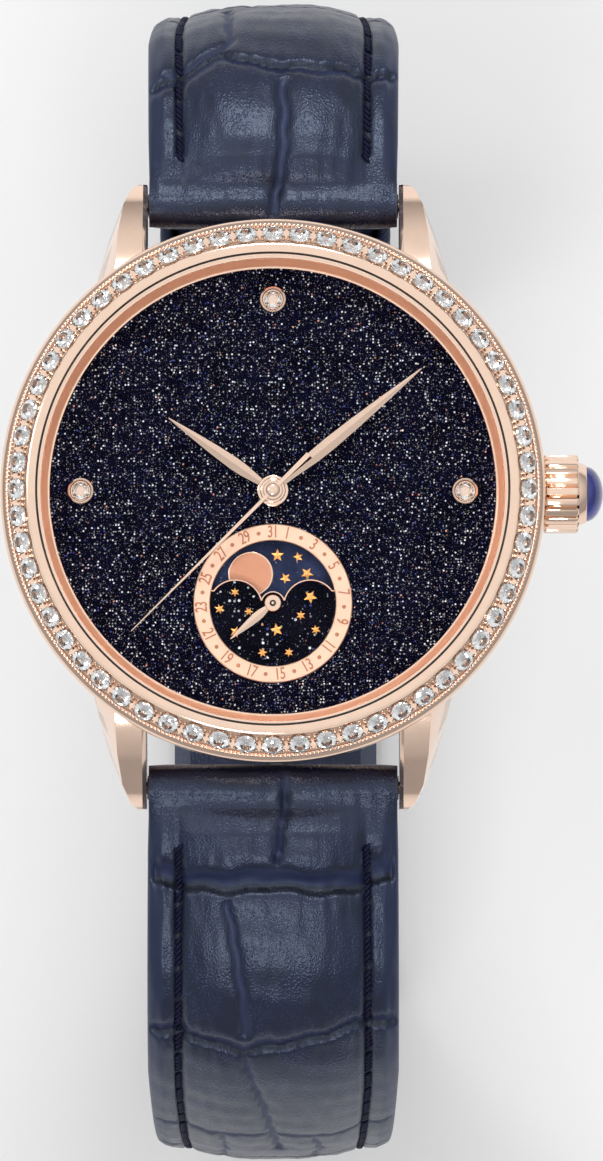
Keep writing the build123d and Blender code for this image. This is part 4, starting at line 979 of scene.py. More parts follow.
@dataclass
class Bezel:
    """Bezel with its ring of stones, their prongs and a row of beads."""

    bore: float = 14.84
    radius: float = 17.15
    foot: float = 7.30
    top: float = 9.70
    slope_outer: Flat = (16.65, 8.46)
    slope_inner: Flat = (15.44, 9.45)
    ring_radius: float = 16.04
    stones: int = 60
    stone: Brilliant = field(default_factory=lambda: Brilliant(0.665, 0.36, 0.20, 0.50))
    stone_lift: float = 0.13
    channel: float = 0.52
    floor: float = 0.12
    channel_depth: float = 0.50
    prong_radius: float = 0.115
    prong_reach: float = 0.43
    prong_spread: float = 0.17
    beads: int = 400
    bead_radius: float = 0.12
    bead_ring: Flat = (16.70, 8.42)

    def slope(self, along: float, depth: float) -> Flat:
        """Point along and below the sloping face.

        Args:
            along: Way inwards from the stones' middle.
            depth: Depth below the face.

        Returns:
            Radius and level.
        """
        run = Vector((self.slope_inner[0] - self.slope_outer[0], self.slope_inner[1] - self.slope_outer[1]))
        way = run.normalized()
        share = (self.slope_outer[0] - self.ring_radius) / (self.slope_outer[0] - self.slope_inner[0])
        spot = Vector(self.slope_outer) + run * share + way * along - Vector((way.y, -way.x)) * depth
        return (spot.x, spot.y)

    def tilt(self) -> float:
        """Lean of the stones outwards, in radians."""
        outer, lower = self.slope(0, 0), self.slope(0, 1)
        return math.atan2(outer[0] - lower[0], outer[1] - lower[1])

    def profile(self) -> list[Flat]:
        """Outline of the bezel with rounded edges and the fine groove inside its rim.

        Returns:
            Radius and level of each corner, starting at the bore's foot.
        """
        rim, foot = self.radius, self.foot
        row, level = self.bead_ring
        return [
            (self.bore, foot),
            (rim - 0.05, foot),
            (rim, foot + 0.05),
            (rim, foot + 0.62),
            (rim - 0.02, foot + 0.74),
            (rim - 0.08, foot + 0.86),
            (rim - 0.20, foot + 0.98),
            (rim - 0.34, foot + 1.09),
            (row + 0.07, level + 0.01),
            (row + 0.05, level - 0.05),
            (row - 0.08, level - 0.05),
            self.slope(-0.68, 0.0),
            self.slope(-self.channel - 0.03, 0),
            self.slope(-self.channel, 0.03),
            self.slope(-self.floor, self.channel_depth),
            self.slope(self.floor, self.channel_depth),
            self.slope(self.channel, 0.03),
            self.slope(self.channel + 0.03, 0),
            (15.48, 9.42),
            (15.46, 9.60),
            (15.41, 9.67),
            (15.33, self.top),
            (self.bore + 0.05, self.top),
            (self.bore, self.top - 0.05),
        ]

    def on_slope(self, along: float, depth: float, turn: float, aside: float = 0.0) -> Matrix:
        """Place on the sloping face, upright to it."""
        radius, level = self.slope(along, depth)
        return about_z(turn) @ at(radius, aside, level) @ Matrix.Rotation(self.tilt(), 4, "Y")

    def build(self, finishes: Finishes) -> None:
        """Builds the bezel's pieces.

        Args:
            finishes: The watch's finishes.
        """
        ring = lathe("bezel_ring", self.profile(), 240)
        settle(ring, finishes.rose_gold, "case", ["bezel"], 28)
        step = 360 / self.stones
        places = [self.on_slope(0, -self.stone_lift, 90 + step * index) @ about_z(37.0 * index)
                  for index in range(self.stones)]
        stones = repeated("bezel_brilliants", self.stone.build("brilliant"), places)
        settle(stones, finishes.diamond, "case", ["bezel_stones"], 1)
        prongs = []
        for index in range(self.stones):
            for along in (-self.prong_reach, self.prong_reach):
                for side in (-1, 1):
                    prongs.append(self.on_slope(along, -0.06, 90 + step * (index + 0.5),
                                                side * self.prong_spread))
        claws = repeated("bezel_prongs", bead("prong", self.prong_radius), prongs)
        settle(claws, finishes.rose_gold, "case")
        row = [about_z(360 / self.beads * index) @ at(self.bead_ring[0], 0, self.bead_ring[1])
               for index in range(self.beads)]
        beads = repeated("bezel_beads", bead("grain", self.bead_radius, 6, 4), row)
        settle(beads, finishes.rose_gold, "case")


@dataclass
class Case:
    """Case band, back, back glass, spring bars and crown tube, on their own solids with softened edges."""

    edge: float = 0.05
    weld_gap: float = 0.002
    plane_angle: float = 1.5
    soft_angle: float = 32.0

    def soften(self, node: str, width: float, flat: bool) -> None:
        """Merges a solid's loose triangles and rounds its edges, with the solid left as it is.

        Args:
            node: The node.
            width: Width of the rounding, in millimetres.
            flat: Whether its flat facets are shaded as wholes.
        """
        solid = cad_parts[node]
        weld = solid.modifiers.new("weld", "WELD")
        weld.merge_threshold = self.weld_gap * MM
        if flat:
            planes = solid.modifiers.new("planes", "DECIMATE")
            planes.decimate_type = "DISSOLVE"
            planes.angle_limit = math.radians(self.plane_angle)
        bevel = solid.modifiers.new("soften", "BEVEL")
        bevel.width = width * MM
        bevel.segments = 2
        bevel.limit_method = "ANGLE"
        bevel.angle_limit = math.radians(self.soft_angle)
        bevel.use_clamp_overlap = True
        bevel.harden_normals = not flat
        if flat:
            solid.modifiers.new("normals", "WEIGHTED_NORMAL")
        for face in solid.data.polygons:
            face.use_smooth = True

    def dress(self, node: str, finish: Material, width: float, flat: bool = False) -> None:
        """Gives a solid its finish and softened edges.

        Args:
            node: The node.
            finish: Its material.
            width: Width of the rounding, in millimetres, or 0.
            flat: Whether its flat facets are shaded as wholes.
        """
        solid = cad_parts[node]
        if not solid.data.materials:
            solid.data.materials.append(finish)
        for index in range(len(solid.data.materials)):
            solid.data.materials[index] = finish
        if width:
            self.soften(node, width, flat)
        LOG.info("%s dressed in %s", node, finish.name)

    def build(self, finishes: Finishes) -> None:
        """Dresses the case's solids.

        Args:
            finishes: The watch's finishes.
        """
        self.dress("case_middle", finishes.rose_gold, self.edge, True)
        self.dress("case_back", finishes.rose_brushed, 0.03)
        self.dress("case_back_glass", finishes.back_glass, 0)
        self.dress("spring_bars", finishes.steel, 0.03)
        self.dress("crown_tube", finishes.rose_gold, 0.02)


@dataclass
class Crown:
    """Fluted crown with a collar and a domed cabochon."""

    start: float = 17.10
    length: float = 2.20
    radius: float = 2.475
    flutes: int = 22
    flute: float = 0.24
    collar: float = 1.975
    collar_length: float = 0.50
    cabochon: float = 1.75
    dome: float = 1.07
    level: float = 4.40
    flute_steps: int = 10
    end_round: float = 0.16
    foot_round: float = 0.14

    def outline(self) -> list[Flat]:
        """Outline of the fluted body seen from its end: round ribs and hollow flutes.

        Returns:
            The outline's points, once round.
        """
        points = []
        count = self.flutes * self.flute_steps
        for index in range(count):
            turn = FULL_TURN * index / count
            wave = 0.5 + 0.5 * math.cos(turn * self.flutes)
            reach = self.radius - self.flute * (1 - min(1.0, wave * 2.6) ** 0.6)
            points.append((reach * math.cos(turn), reach * math.sin(turn)))
        return points

    def build(self, finishes: Finishes) -> None:
        """Builds the crown's pieces.

        Args:
            finishes: The watch's finishes.
        """
        lay = at(self.start, 0, self.level) @ Matrix.Rotation(math.radians(90), 4, "Y")
        body = slab("crown_body", self.outline(), 0.0, self.length, self.end_round, 3)
        with editing(body):
            pick(Part.EDGE, lambda edge: max(vertex.co.z for vertex in edge.verts) < 0.001)
            bpy.ops.mesh.bevel(offset=self.foot_round, segments=3, affect="EDGES")
        base = self.length + self.collar_length
        collar = lathe("crown_collar", [
            (0.0, self.length - 0.1),
            (self.collar + 0.05, self.length - 0.1),
            (self.collar - 0.12, base - 0.05),
            (self.collar - 0.17, base),
            (self.cabochon - 0.02, base),
            (self.cabochon - 0.06, base - 0.06),
            (0.0, base - 0.06),
        ], 96, closed=False)
        crown = joined("crown_body", [body, collar])
        crown.data.transform(lay)
        settle(crown, finishes.rose_gold, "crown", ["crown"], 35)
        arc = [(self.cabochon * math.cos(turn), base - 0.05 + (self.dome + 0.05) * math.sin(turn))
               for turn in (math.radians(90 * index / 14) for index in range(15))]
        stone = lathe("crown_stone", [(0.0, base - 0.05), *arc[:-1], (0.0, base + self.dome)], 72,
                      closed=False)
        stone.data.transform(lay)
        settle(stone, finishes.cabochon, "crown", ["crown_cabochon"], 40)


# Dial side


@dataclass
class DialSide:
    """Dial, stepped ring, crystal and the set hour markers."""

    level: float = 6.90
    opening: float = 14.05
    outer: float = 14.84
    crystal: float = 8.75
    thickness: float = 1.0
    gap: float = 0.09
    marker_ring: float = 12.10
    marker_radius: float = 0.83
    marker_height: float = 0.45
    hours: tuple[int, ...] = (12, 3, 9)
    stone: Brilliant = field(default_factory=lambda: Brilliant(0.55, 0.31, 0.16, 0.36))

    def stepped_ring(self) -> Piece:
        """Turns the stepped ring between the dial and the crystal.

        Returns:
            The ring.
        """
        base = self.level
        return lathe("stepped_ring", [
            (self.opening, base),
            (self.outer, base),
            (self.outer, self.crystal),
            (self.outer - 0.26, self.crystal),
            (self.outer - 0.29, self.crystal - 0.03),
            (self.opening + 0.14, base + 0.42),
            (self.opening + 0.12, base + 0.36),
            (self.opening + 0.02, base + 0.36),
            (self.opening, base + 0.34),
        ], 240)

    def ring_slope(self) -> Piece:
        """Turns the satin slope that lies in the stepped ring.

        Returns:
            The slope.
        """
        base = self.level
        return lathe("stepped_ring_slope", [
            (self.opening + 0.125, base + 0.42),
            (self.outer - 0.315, self.crystal - 0.03),
            (self.outer - 0.285, self.crystal - 0.05),
            (self.opening + 0.155, base + 0.40),
        ], 240)

    def glass(self) -> Piece:
        """Turns the crystal with its bevelled rim.

        Returns:
            The crystal.
        """
        reach, top = self.outer - self.gap, self.crystal + self.thickness
        foot = self.crystal + 0.015
        return lathe("crystal_disc", [(0.0, foot), (reach, foot), (reach, top - 0.06), (reach - 0.06, top),
                                      (0.0, top)], 240, closed=False)

    def seal(self) -> Piece:
        """Turns the black seal between the crystal and the bezel.

        Returns:
            The seal.
        """
        low, high = self.crystal, self.crystal + self.thickness - 0.2
        inner, outer = self.outer - self.gap + 0.005, self.outer
        return lathe("crystal_seal", [(inner, low), (outer, low), (outer, high), (inner, high)], 240)

    def cup(self) -> Piece:
        """Turns one marker's cup with its rounded rim.

        Returns:
            The cup, on the axis of the hands.
        """
        base, top = self.level, self.level + self.marker_height
        radius = self.marker_radius
        return lathe("marker_cup", [
            (0.0, base),
            (radius - 0.02, base),
            (radius, base + 0.03),
            (radius, top - 0.10),
            (radius - 0.03, top - 0.03),
            (radius - 0.09, top),
            (radius - 0.15, top - 0.03),
            (radius - 0.19, top - 0.10),
            (radius - 0.21, top - 0.20),
            (0.0, top - 0.22),
        ], 56, closed=False)

    def build(self, finishes: Finishes, case: Case) -> None:
        """Builds the dial side's pieces.

        Args:
            finishes: The watch's finishes.
            case: Dresses the solids that stay.
        """
        case.dress("dial", finishes.aventurine, 0)
        settle(self.glass(), finishes.crystal, "case", ["crystal"])
        settle(self.seal(), finishes.gasket, "case", ["crystal_gasket"])
        settle(self.stepped_ring(), finishes.rose_gold, "case", ["rehaut_ring"])
        settle(self.ring_slope(), finishes.rose_slope, "case")
        places = [at(*clock_point(self.marker_ring, 30 * hour), 0) for hour in self.hours]
        cups = repeated("marker_cups", self.cup(), places)
        settle(cups, finishes.rose_gold, "case", ["hour_markers"])
        top = self.level + self.marker_height
        stones = repeated("marker_brilliants", self.stone.build("marker_stone"),
                          [place @ at(0, 0, top - 0.02) for place in places])
        settle(stones, finishes.diamond, "case", ["marker_stones"], 1)
        claws = []
        for place in places:
            for turn in (45, 135, 225, 315):
                claws.append(place @ about_z(turn) @ at(0.53, 0, top))
        prongs = repeated("marker_prongs", bead("marker_prong", 0.085), claws)
        settle(prongs, finishes.rose_gold, "case")


def star_outline(radius: float, points: int, waist: float, turn: float = 0.0) -> list[Flat]:
    """Outline of a star.

    Args:
        radius: Reach of its points.
        points: Number of points.
        waist: Share of the radius between the points.
        turn: Turn of the star, in degrees.

    Returns:
        The outline.
    """
    rows = []
    for index in range(2 * points):
        reach = radius if index % 2 == 0 else radius * waist
        angle = math.radians(90 + turn) + math.pi * index / points
        rows.append((reach * math.cos(angle), reach * math.sin(angle)))
    return rows


@dataclass
class MoonDisplay:
    """Date ring with its numbers, and the moon's window, disc and stars."""

    centre: Flat = (0.0, -7.07)
    dial: float = 6.90
    ring_inner: float = 3.96
    ring_outer: float = 5.00
    ring_height: float = 0.15
    mask_radius: float = 3.94
    mask_thickness: float = 0.35
    hump: float = 1.68
    hump_spread: float = 2.36
    hump_drop: float = 0.20
    bump: float = 0.73
    shoulder: float = 0.80
    orbit: float = 2.347
    moon: float = 1.43
    moon_turn: float = 126.8
    disc_radius: float = 4.25
    disc_level: float = 6.15
    disc_thickness: float = 0.15
    number_size: float = 1.06
    number_width: float = 0.70
    days: int = 31
    turned_over: Flat = (115.0, 255.0)
    teeth: int = 59
    sky_stars: tuple[tuple[float, float, float], ...] = (
        (0.289, 3.059, 0.42), (1.606, 2.963, 0.33), (0.787, 1.614, 0.36), (2.152, 1.895, 0.43))
    mask_stars: tuple[tuple[float, float, float], ...] = (
        (-2.385, 0.707, 0.30), (-3.348, -0.353, 0.33), (-1.518, -0.514, 0.29), (2.353, 0.410, 0.44),
        (1.751, -0.755, 0.31), (2.698, -1.662, 0.31), (0.249, -1.662, 0.42), (-0.658, -3.108, 0.31),
        (1.012, -3.083, 0.30), (-2.345, -1.799, 0.38))

    def place(self) -> Matrix:
        """Place of the sub-dial."""
        return at(*self.centre, 0)

    def lay(self, piece: Piece, finish: Material, body: str, slot: str, replaced: Sequence[str] = (),
            smooth: float = 30.0) -> None:
        """Moves a piece to the sub-dial and settles it."""
        piece.data.transform(self.place())
        settle(piece, finish, body, replaced, smooth)

    def hill(self, x: float) -> float:
        """Upper edge of the mask at a place across it.

        Args:
            x: Place across the mask.

        Returns:
            Level of the edge up the dial.
        """
        rows = [(0.0, 0.0, self.bump)]
        rows += [(side * self.hump_spread, -self.hump_drop, self.hump) for side in (-1, 1)]
        best = self.shoulder if abs(x) > self.hump_spread + self.hump * 0.75 else -self.hump_drop
        for middle_x, middle_y, radius in rows:
            inside = radius ** 2 - (x - middle_x) ** 2
            if inside > 0:
                best = max(best, middle_y + math.sqrt(inside))
        return best

    def mask_outline(self) -> list[Flat]:
        """Outline of the mask: two humps and a bump above, the window's circle below.

        Returns:
            The outline.
        """
        reach = self.mask_radius
        limit = math.sqrt(reach ** 2 - self.hump_drop ** 2)
        points = [(x, self.hill(x)) for x in np.linspace(limit, -limit, 150)]
        first = math.atan2(-self.hump_drop, -limit)
        for turn in np.linspace(first, first + math.pi - 0.1, 90)[1:]:
            points.append((reach * math.cos(turn), reach * math.sin(turn)))
        return [(float(x), float(y)) for x, y in points]

    def numbers(self) -> Piece:
        """Sets the odd dates round the ring, upright in its lower half, with dots between.

        Returns:
            The numbers and dots as one piece.
        """
        top = self.dial + self.ring_height
        radius = (self.ring_inner + self.ring_outer) / 2
        pieces = []
        for day in range(1, self.days + 1):
            turn = day % self.days * 360 / self.days
            x, y = clock_point(radius, turn)
            if day % 2 == 0:
                dot = primitive("date_dot", bpy.ops.mesh.primitive_circle_add, vertices=16, radius=0.13,
                                fill_type="NGON", location=(x, y, top))
                with editing(dot):
                    bpy.ops.mesh.inset(thickness=0.045)
                    bpy.ops.transform.translate(value=(0, 0, 0.012))
                pieces.append(dot)
                continue
            deselect()
            bpy.ops.object.text_add()
            words = bpy.context.object
            words.data.body = str(day)
            words.data.size = self.number_size
            words.data.align_x = "CENTER"
            words.data.align_y = "CENTER"
            words.data.space_character = 0.92
            words.data.extrude = 0.006
            words.data.offset = 0.014
            activate(words)
            bpy.ops.object.convert(target="MESH")
            mark = bpy.context.object
            low, high = self.turned_over
            lean = turn + 180 if low < turn < high else turn
            narrow = Matrix.Diagonal((self.number_width, 1.0, 1.0, 1.0))
            mark.data.transform(at(x, y, top + 0.004) @ about_z(-lean) @ narrow)
            pieces.append(mark)
        return joined("date_numbers", pieces)

    def stars(self, name: str, rows: Sequence[tuple[float, float, float]], level: float,
              points: int) -> Piece:
        """Raises faceted stars.

        Args:
            name: Name of the new piece.
            rows: Place and radius of each star.
            level: Level of their feet.
            points: Points of each star.

        Returns:
            The stars.
        """
        pieces = []
        for index, (x, y, radius) in enumerate(rows):
            count = points if radius < 0.36 else 5
            outline = star_outline(radius, count, 0.43, 14.0 * index)
            star = slab("star", [(x + a, y + b) for a, b in outline], level, 0.03)
            with editing(star):
                pick(Part.FACE, lambda face: face.normal.z > 0.9)
                bpy.ops.mesh.poke(offset=0.04)
            pieces.append(star)
        return joined(name, pieces)

    def build(self, finishes: Finishes) -> None:
        """Builds the display's pieces.

        Args:
            finishes: The watch's finishes.
        """
        base, top = self.dial, self.dial + self.ring_height
        ring = lathe("date_ring_plate", [
            (self.ring_inner, base),
            (self.ring_outer, base),
            (self.ring_outer, top - 0.06),
            (self.ring_outer - 0.05, top),
            (self.ring_inner + 0.05, top),
            (self.ring_inner, top - 0.06),
        ], 180)
        self.lay(ring, finishes.rose_satin, "case", "rose_gold", ["date_ring"], 25)
        self.lay(self.numbers(), finishes.rose_engraved, "case", "rose_gold")
        mask = slab("moon_window_plate", self.mask_outline(), base - self.mask_thickness,
                    self.mask_thickness, 0.02)
        self.lay(mask, finishes.window, "case", "aventurine", ["moon_mask"])
        self.build_rim(finishes)
        stars = self.stars("window_stars", self.mask_stars, base - 0.005, 6)
        self.lay(stars, finishes.star_gold, "case", "rose_gold", smooth=5)
        self.build_disc(finishes)

    def build_rim(self, finishes: Finishes) -> None:
        """Builds the bright edge of the mask's humps, arc by arc.

        Args:
            finishes: The watch's finishes.
        """
        wide = 0.045
        gap = self.hump_spread
        meet = (gap ** 2 + self.hump_drop ** 2 + self.bump ** 2 - self.hump ** 2) / 2
        ends = (0.4, self.bump)
        x = float(np.interp(0.0, [self.bump_gap(value, meet) for value in ends], ends))
        rows = []
        for side in (-1, 1):
            centre = Vector((side * gap, -self.hump_drop))
            rise = math.asin((self.shoulder + self.hump_drop) / self.hump)
            far = rise if side > 0 else math.pi - rise
            near = math.atan2(self.hill(x) + self.hump_drop, side * (x - gap))
            arc = [centre + Vector((math.cos(turn), math.sin(turn))) * self.hump
                   for turn in np.linspace(far, near, 40)]
            rows.append([Vector((side * (self.mask_radius + 0.01), self.shoulder)), *arc])
        first = math.atan2(self.hill(x), x)
        rows.append([Vector((math.cos(turn), math.sin(turn))) * self.bump
                     for turn in np.linspace(first, math.pi - first, 24)])
        pieces = []
        for row in rows:
            outline = []
            for shift in (wide, -wide):
                line = []
                for index, spot in enumerate(row):
                    way = (row[min(index + 1, len(row) - 1)] - row[max(index - 1, 0)]).normalized()
                    line.append((spot.x - way.y * shift, spot.y + way.x * shift))
                outline += line if shift > 0 else line[::-1]
            pieces.append(slab("moon_window_rim", outline, self.dial - 0.05, 0.08, 0.015))
        self.lay(joined("moon_window_rim", pieces), finishes.rose_gold, "case", "rose_gold")

    def bump_gap(self, x: float, meet: float) -> float:
        """How far a point of the bump at x is from where the bump meets a hump."""
        return self.hump_spread * x - self.hump_drop * math.sqrt(max(self.bump ** 2 - x ** 2, 0)) - meet

    def build_disc(self, finishes: Finishes) -> None:
        """Builds the disc that carries two moons and the sky.

        Args:
            finishes: The watch's finishes.
        """
        outline = []
        for index in range(self.teeth):
            for lean, reach in ((0.0, self.disc_radius), (0.45, self.disc_radius - 0.3)):
                turn = FULL_TURN * (index + lean) / self.teeth
                outline.append((reach * math.cos(turn), reach * math.sin(turn)))
        sky = slab("moon_sky_disc", outline, self.disc_level, self.disc_thickness)
        self.lay(sky, finishes.sky, "moon", "moon_sky", ["moon_disc"])
        top = self.disc_level + self.disc_thickness
        inner = self.moon - 0.11
        face = [(0.0, top - 0.01), (inner, top - 0.01), (inner, top + 0.05), (0.0, top + 0.05)]
        edge = [(inner, top - 0.01), (self.moon, top - 0.01), (self.moon, top + 0.05),
                (self.moon - 0.03, top + 0.07), (inner, top + 0.07)]
        places = [self.place() @ about_z(self.moon_turn + turn) @ at(self.orbit, 0, 0) for turn in (0, 180)]
        moons = repeated("moons", lathe("moon", face, 80, closed=False), places)
        settle(moons, finishes.moon_gold, "moon", smooth=40)
        rims = repeated("moon_rims", lathe("moon_rim", edge, 80), places)
        settle(rims, finishes.rose_gold, "moon", smooth=60)
        rows = list(self.sky_stars) + [(-x, -y, radius) for x, y, radius in self.sky_stars]
        stars = self.stars("sky_stars", rows, top, 5)
        self.lay(stars, finishes.star_gold, "moon", "rose_gold", smooth=5)


# Hands


@dataclass
class LeafHand:
    """Leaf hand with a ridge, on a round collet that may carry a cap."""

    name: str
    node: str
    body: str
    length: float
    width: float
    thickness: float
    collet: float
    bore: float
    angle: float
    level: float
    centre: Flat = (0.0, 0.0)
    cap: float = 0.0

    def half_width(self, share: float) -> float:
        """Half width of the blade at a share of its length.

        Args:
            share: Share of the way from the centre to the tip.

        Returns:
            The half width.
        """
        rows = ((0.0, 0.40), (0.12, 0.55), (0.28, 0.95), (0.38, 1.0), (0.55, 0.86), (0.75, 0.56),
                (0.92, 0.24), (1.0, 0.08))
        shares, widths = zip(*rows)
        return float(np.interp(share, shares, widths)) * self.width / 2

    def blade(self) -> Piece:
        """Raises the blade's outline and lifts its ridge.

        Returns:
            The blade, pointing along +Y.
        """
        start = self.collet * 0.6
        steps = 28
        reach = [start + (self.length - start) * index / steps for index in range(steps + 1)]
        right = [(self.half_width(y / self.length), y) for y in reach]
        outline = right + [(-x, y) for x, y in reversed(right)]
        piece = trace(self.name, [(x, y, 0.0) for x, y in outline], closed=True)
        low = self.thickness * 0.12
        with editing(piece):
            bpy.ops.mesh.edge_face_add()
            bpy.ops.mesh.extrude_region_move(TRANSFORM_OT_translate={"value": (0, 0, low)})
            outward()
            pick(Part.FACE, lambda face: face.normal.z > 0.9)
            bpy.ops.mesh.delete(type="ONLY_FACE")
            lift = {"value": (0, 0, self.thickness - low)}
            for side in (1, -1):
                pick(Part.EDGE,
                     lambda edge: abs(middle(edge).z - low) < SAME and side * middle(edge).x > CLEAR)
                bpy.ops.mesh.extrude_edges_move(TRANSFORM_OT_translate=lift)
                bpy.ops.transform.resize(value=(0.0, 1.0, 1.0), center_override=(0, 0, 0))
            outward()
            pick(Part.EDGE, lambda edge: len(edge.link_faces) == 1)
            bpy.ops.mesh.edge_face_add()
            outward()
            for half, y in right:
                pick(Part.VERTEX, lambda vertex: vertex.co.z > low + CLEAR and abs(vertex.co.y - y) < CLEAR)
                drop = (low - self.thickness) * (1 - 2 * half / self.width)
                bpy.ops.transform.translate(value=(0, 0, drop))
        return piece

    def hub(self) -> Piece:
        """Turns the collet with a rounded rim, and its cap where it has one.

        Returns:
            The collet, with its cap where it has one.
        """
        high = self.thickness
        radius = self.collet
        rows = [
            (self.bore, 0.0),
            (radius - 0.02, 0.0),
            (radius, 0.02),
            (radius, high * 0.55),
            (radius - 0.04, high * 0.9),
            (radius - 0.10, high),
        ]
        if self.cap:
            rows[0] = (0.0, 0.0)
            rows += [(self.cap + 0.02, high), (self.cap, high + 0.05), (self.cap - 0.05, high + 0.08),
                     (0.0, high + 0.11)]
            return lathe(self.name + "_hub", rows, 64, closed=False)
        rows += [(self.bore, high)]
        return lathe(self.name + "_hub", rows, 64)

    def build(self, finish: Material) -> None:
        """Builds the hand.

        Args:
            finish: Its material.
        """
        piece = joined(self.name, [self.blade(), self.hub()])
        piece.data.transform(at(self.centre[0], self.centre[1], self.level) @ about_z(-self.angle))
        settle(piece, finish, self.body, [self.node], 20)


@dataclass
class SecondHand:
    """Thin tapered hand with a tail, rounded upper edges and a domed hub."""

    length: float = 12.57
    tail: float = 3.20
    width: float = 0.26
    thickness: float = 0.12
    hub_radius: float = 0.45
    angle: float = 225.0
    level: float = 8.15

    def build(self, finish: Material) -> None:
        """Builds the hand.

        Args:
            finish: Its material.
        """
        half = self.width / 2
        right = [(half * 1.25, -self.tail), (half * 1.25, -self.tail + 0.3), (half, 0),
                 (half * 0.3, self.length)]
        outline = right + [(-x, y) for x, y in reversed(right)]
        blade = slab("second_hand_blade", outline, 0.0, self.thickness, 0.04, 2)
        rim = self.hub_radius
        hub = lathe("second_hub", [(0.0, 0.0), (rim, 0.0), (rim, 0.10), (rim - 0.08, 0.17), (rim - 0.2, 0.22),
                                   (0.0, 0.25)], 56, closed=False)
        piece = joined("second_hand_blade", [blade, hub])
        piece.data.transform(at(0, 0, self.level) @ about_z(-self.angle))
        settle(piece, finish, "fourth", ["second_hand"], 25)


class Hands:
    """The four hands."""

    def __init__(self) -> None:
        """Sets the hands' sizes."""
        self.leaves = (
            LeafHand("hour_hand_leaf", "hour_hand", "hour", 8.00, 0.80, 0.20, 1.00, 0.70, 304.9, 7.45),
            LeafHand("minute_hand_leaf", "minute_hand", "centre", 12.10, 0.86, 0.20, 0.80, 0.42, 50.6, 7.80,
                     cap=0.62),
            LeafHand("date_hand_leaf", "date_hand", "date", 3.50, 0.56, 0.10, 0.52, 0.20, 229.7, 7.25,
                     (0.0, -7.07), 0.11),
        )
        self.second = SecondHand()

    def build(self, finishes: Finishes) -> None:
        """Builds all four hands.

        Args:
            finishes: The watch's finishes.
        """
        for leaf in self.leaves:
            leaf.build(finishes.rose_gold)
        self.second.build(finishes.rose_gold)


# Strap


def lay_skin(piece: Piece, across: np.ndarray, along: np.ndarray) -> None:
    """Keeps the leather's own lengths at each corner, for its grain."""
    skin = piece.data.attributes.new("skin", "FLOAT_VECTOR", "POINT")
    skin.data.foreach_set("vector", np.stack([across, along, np.zeros_like(along)], axis=-1).ravel())


@dataclass(frozen=True)
class Crease:
    """Crease between scales of the leather, in strap length and place across."""

    points: tuple[Flat, ...]
    width: float = 0.22
    depth: float = 0.22
    step: bool = False


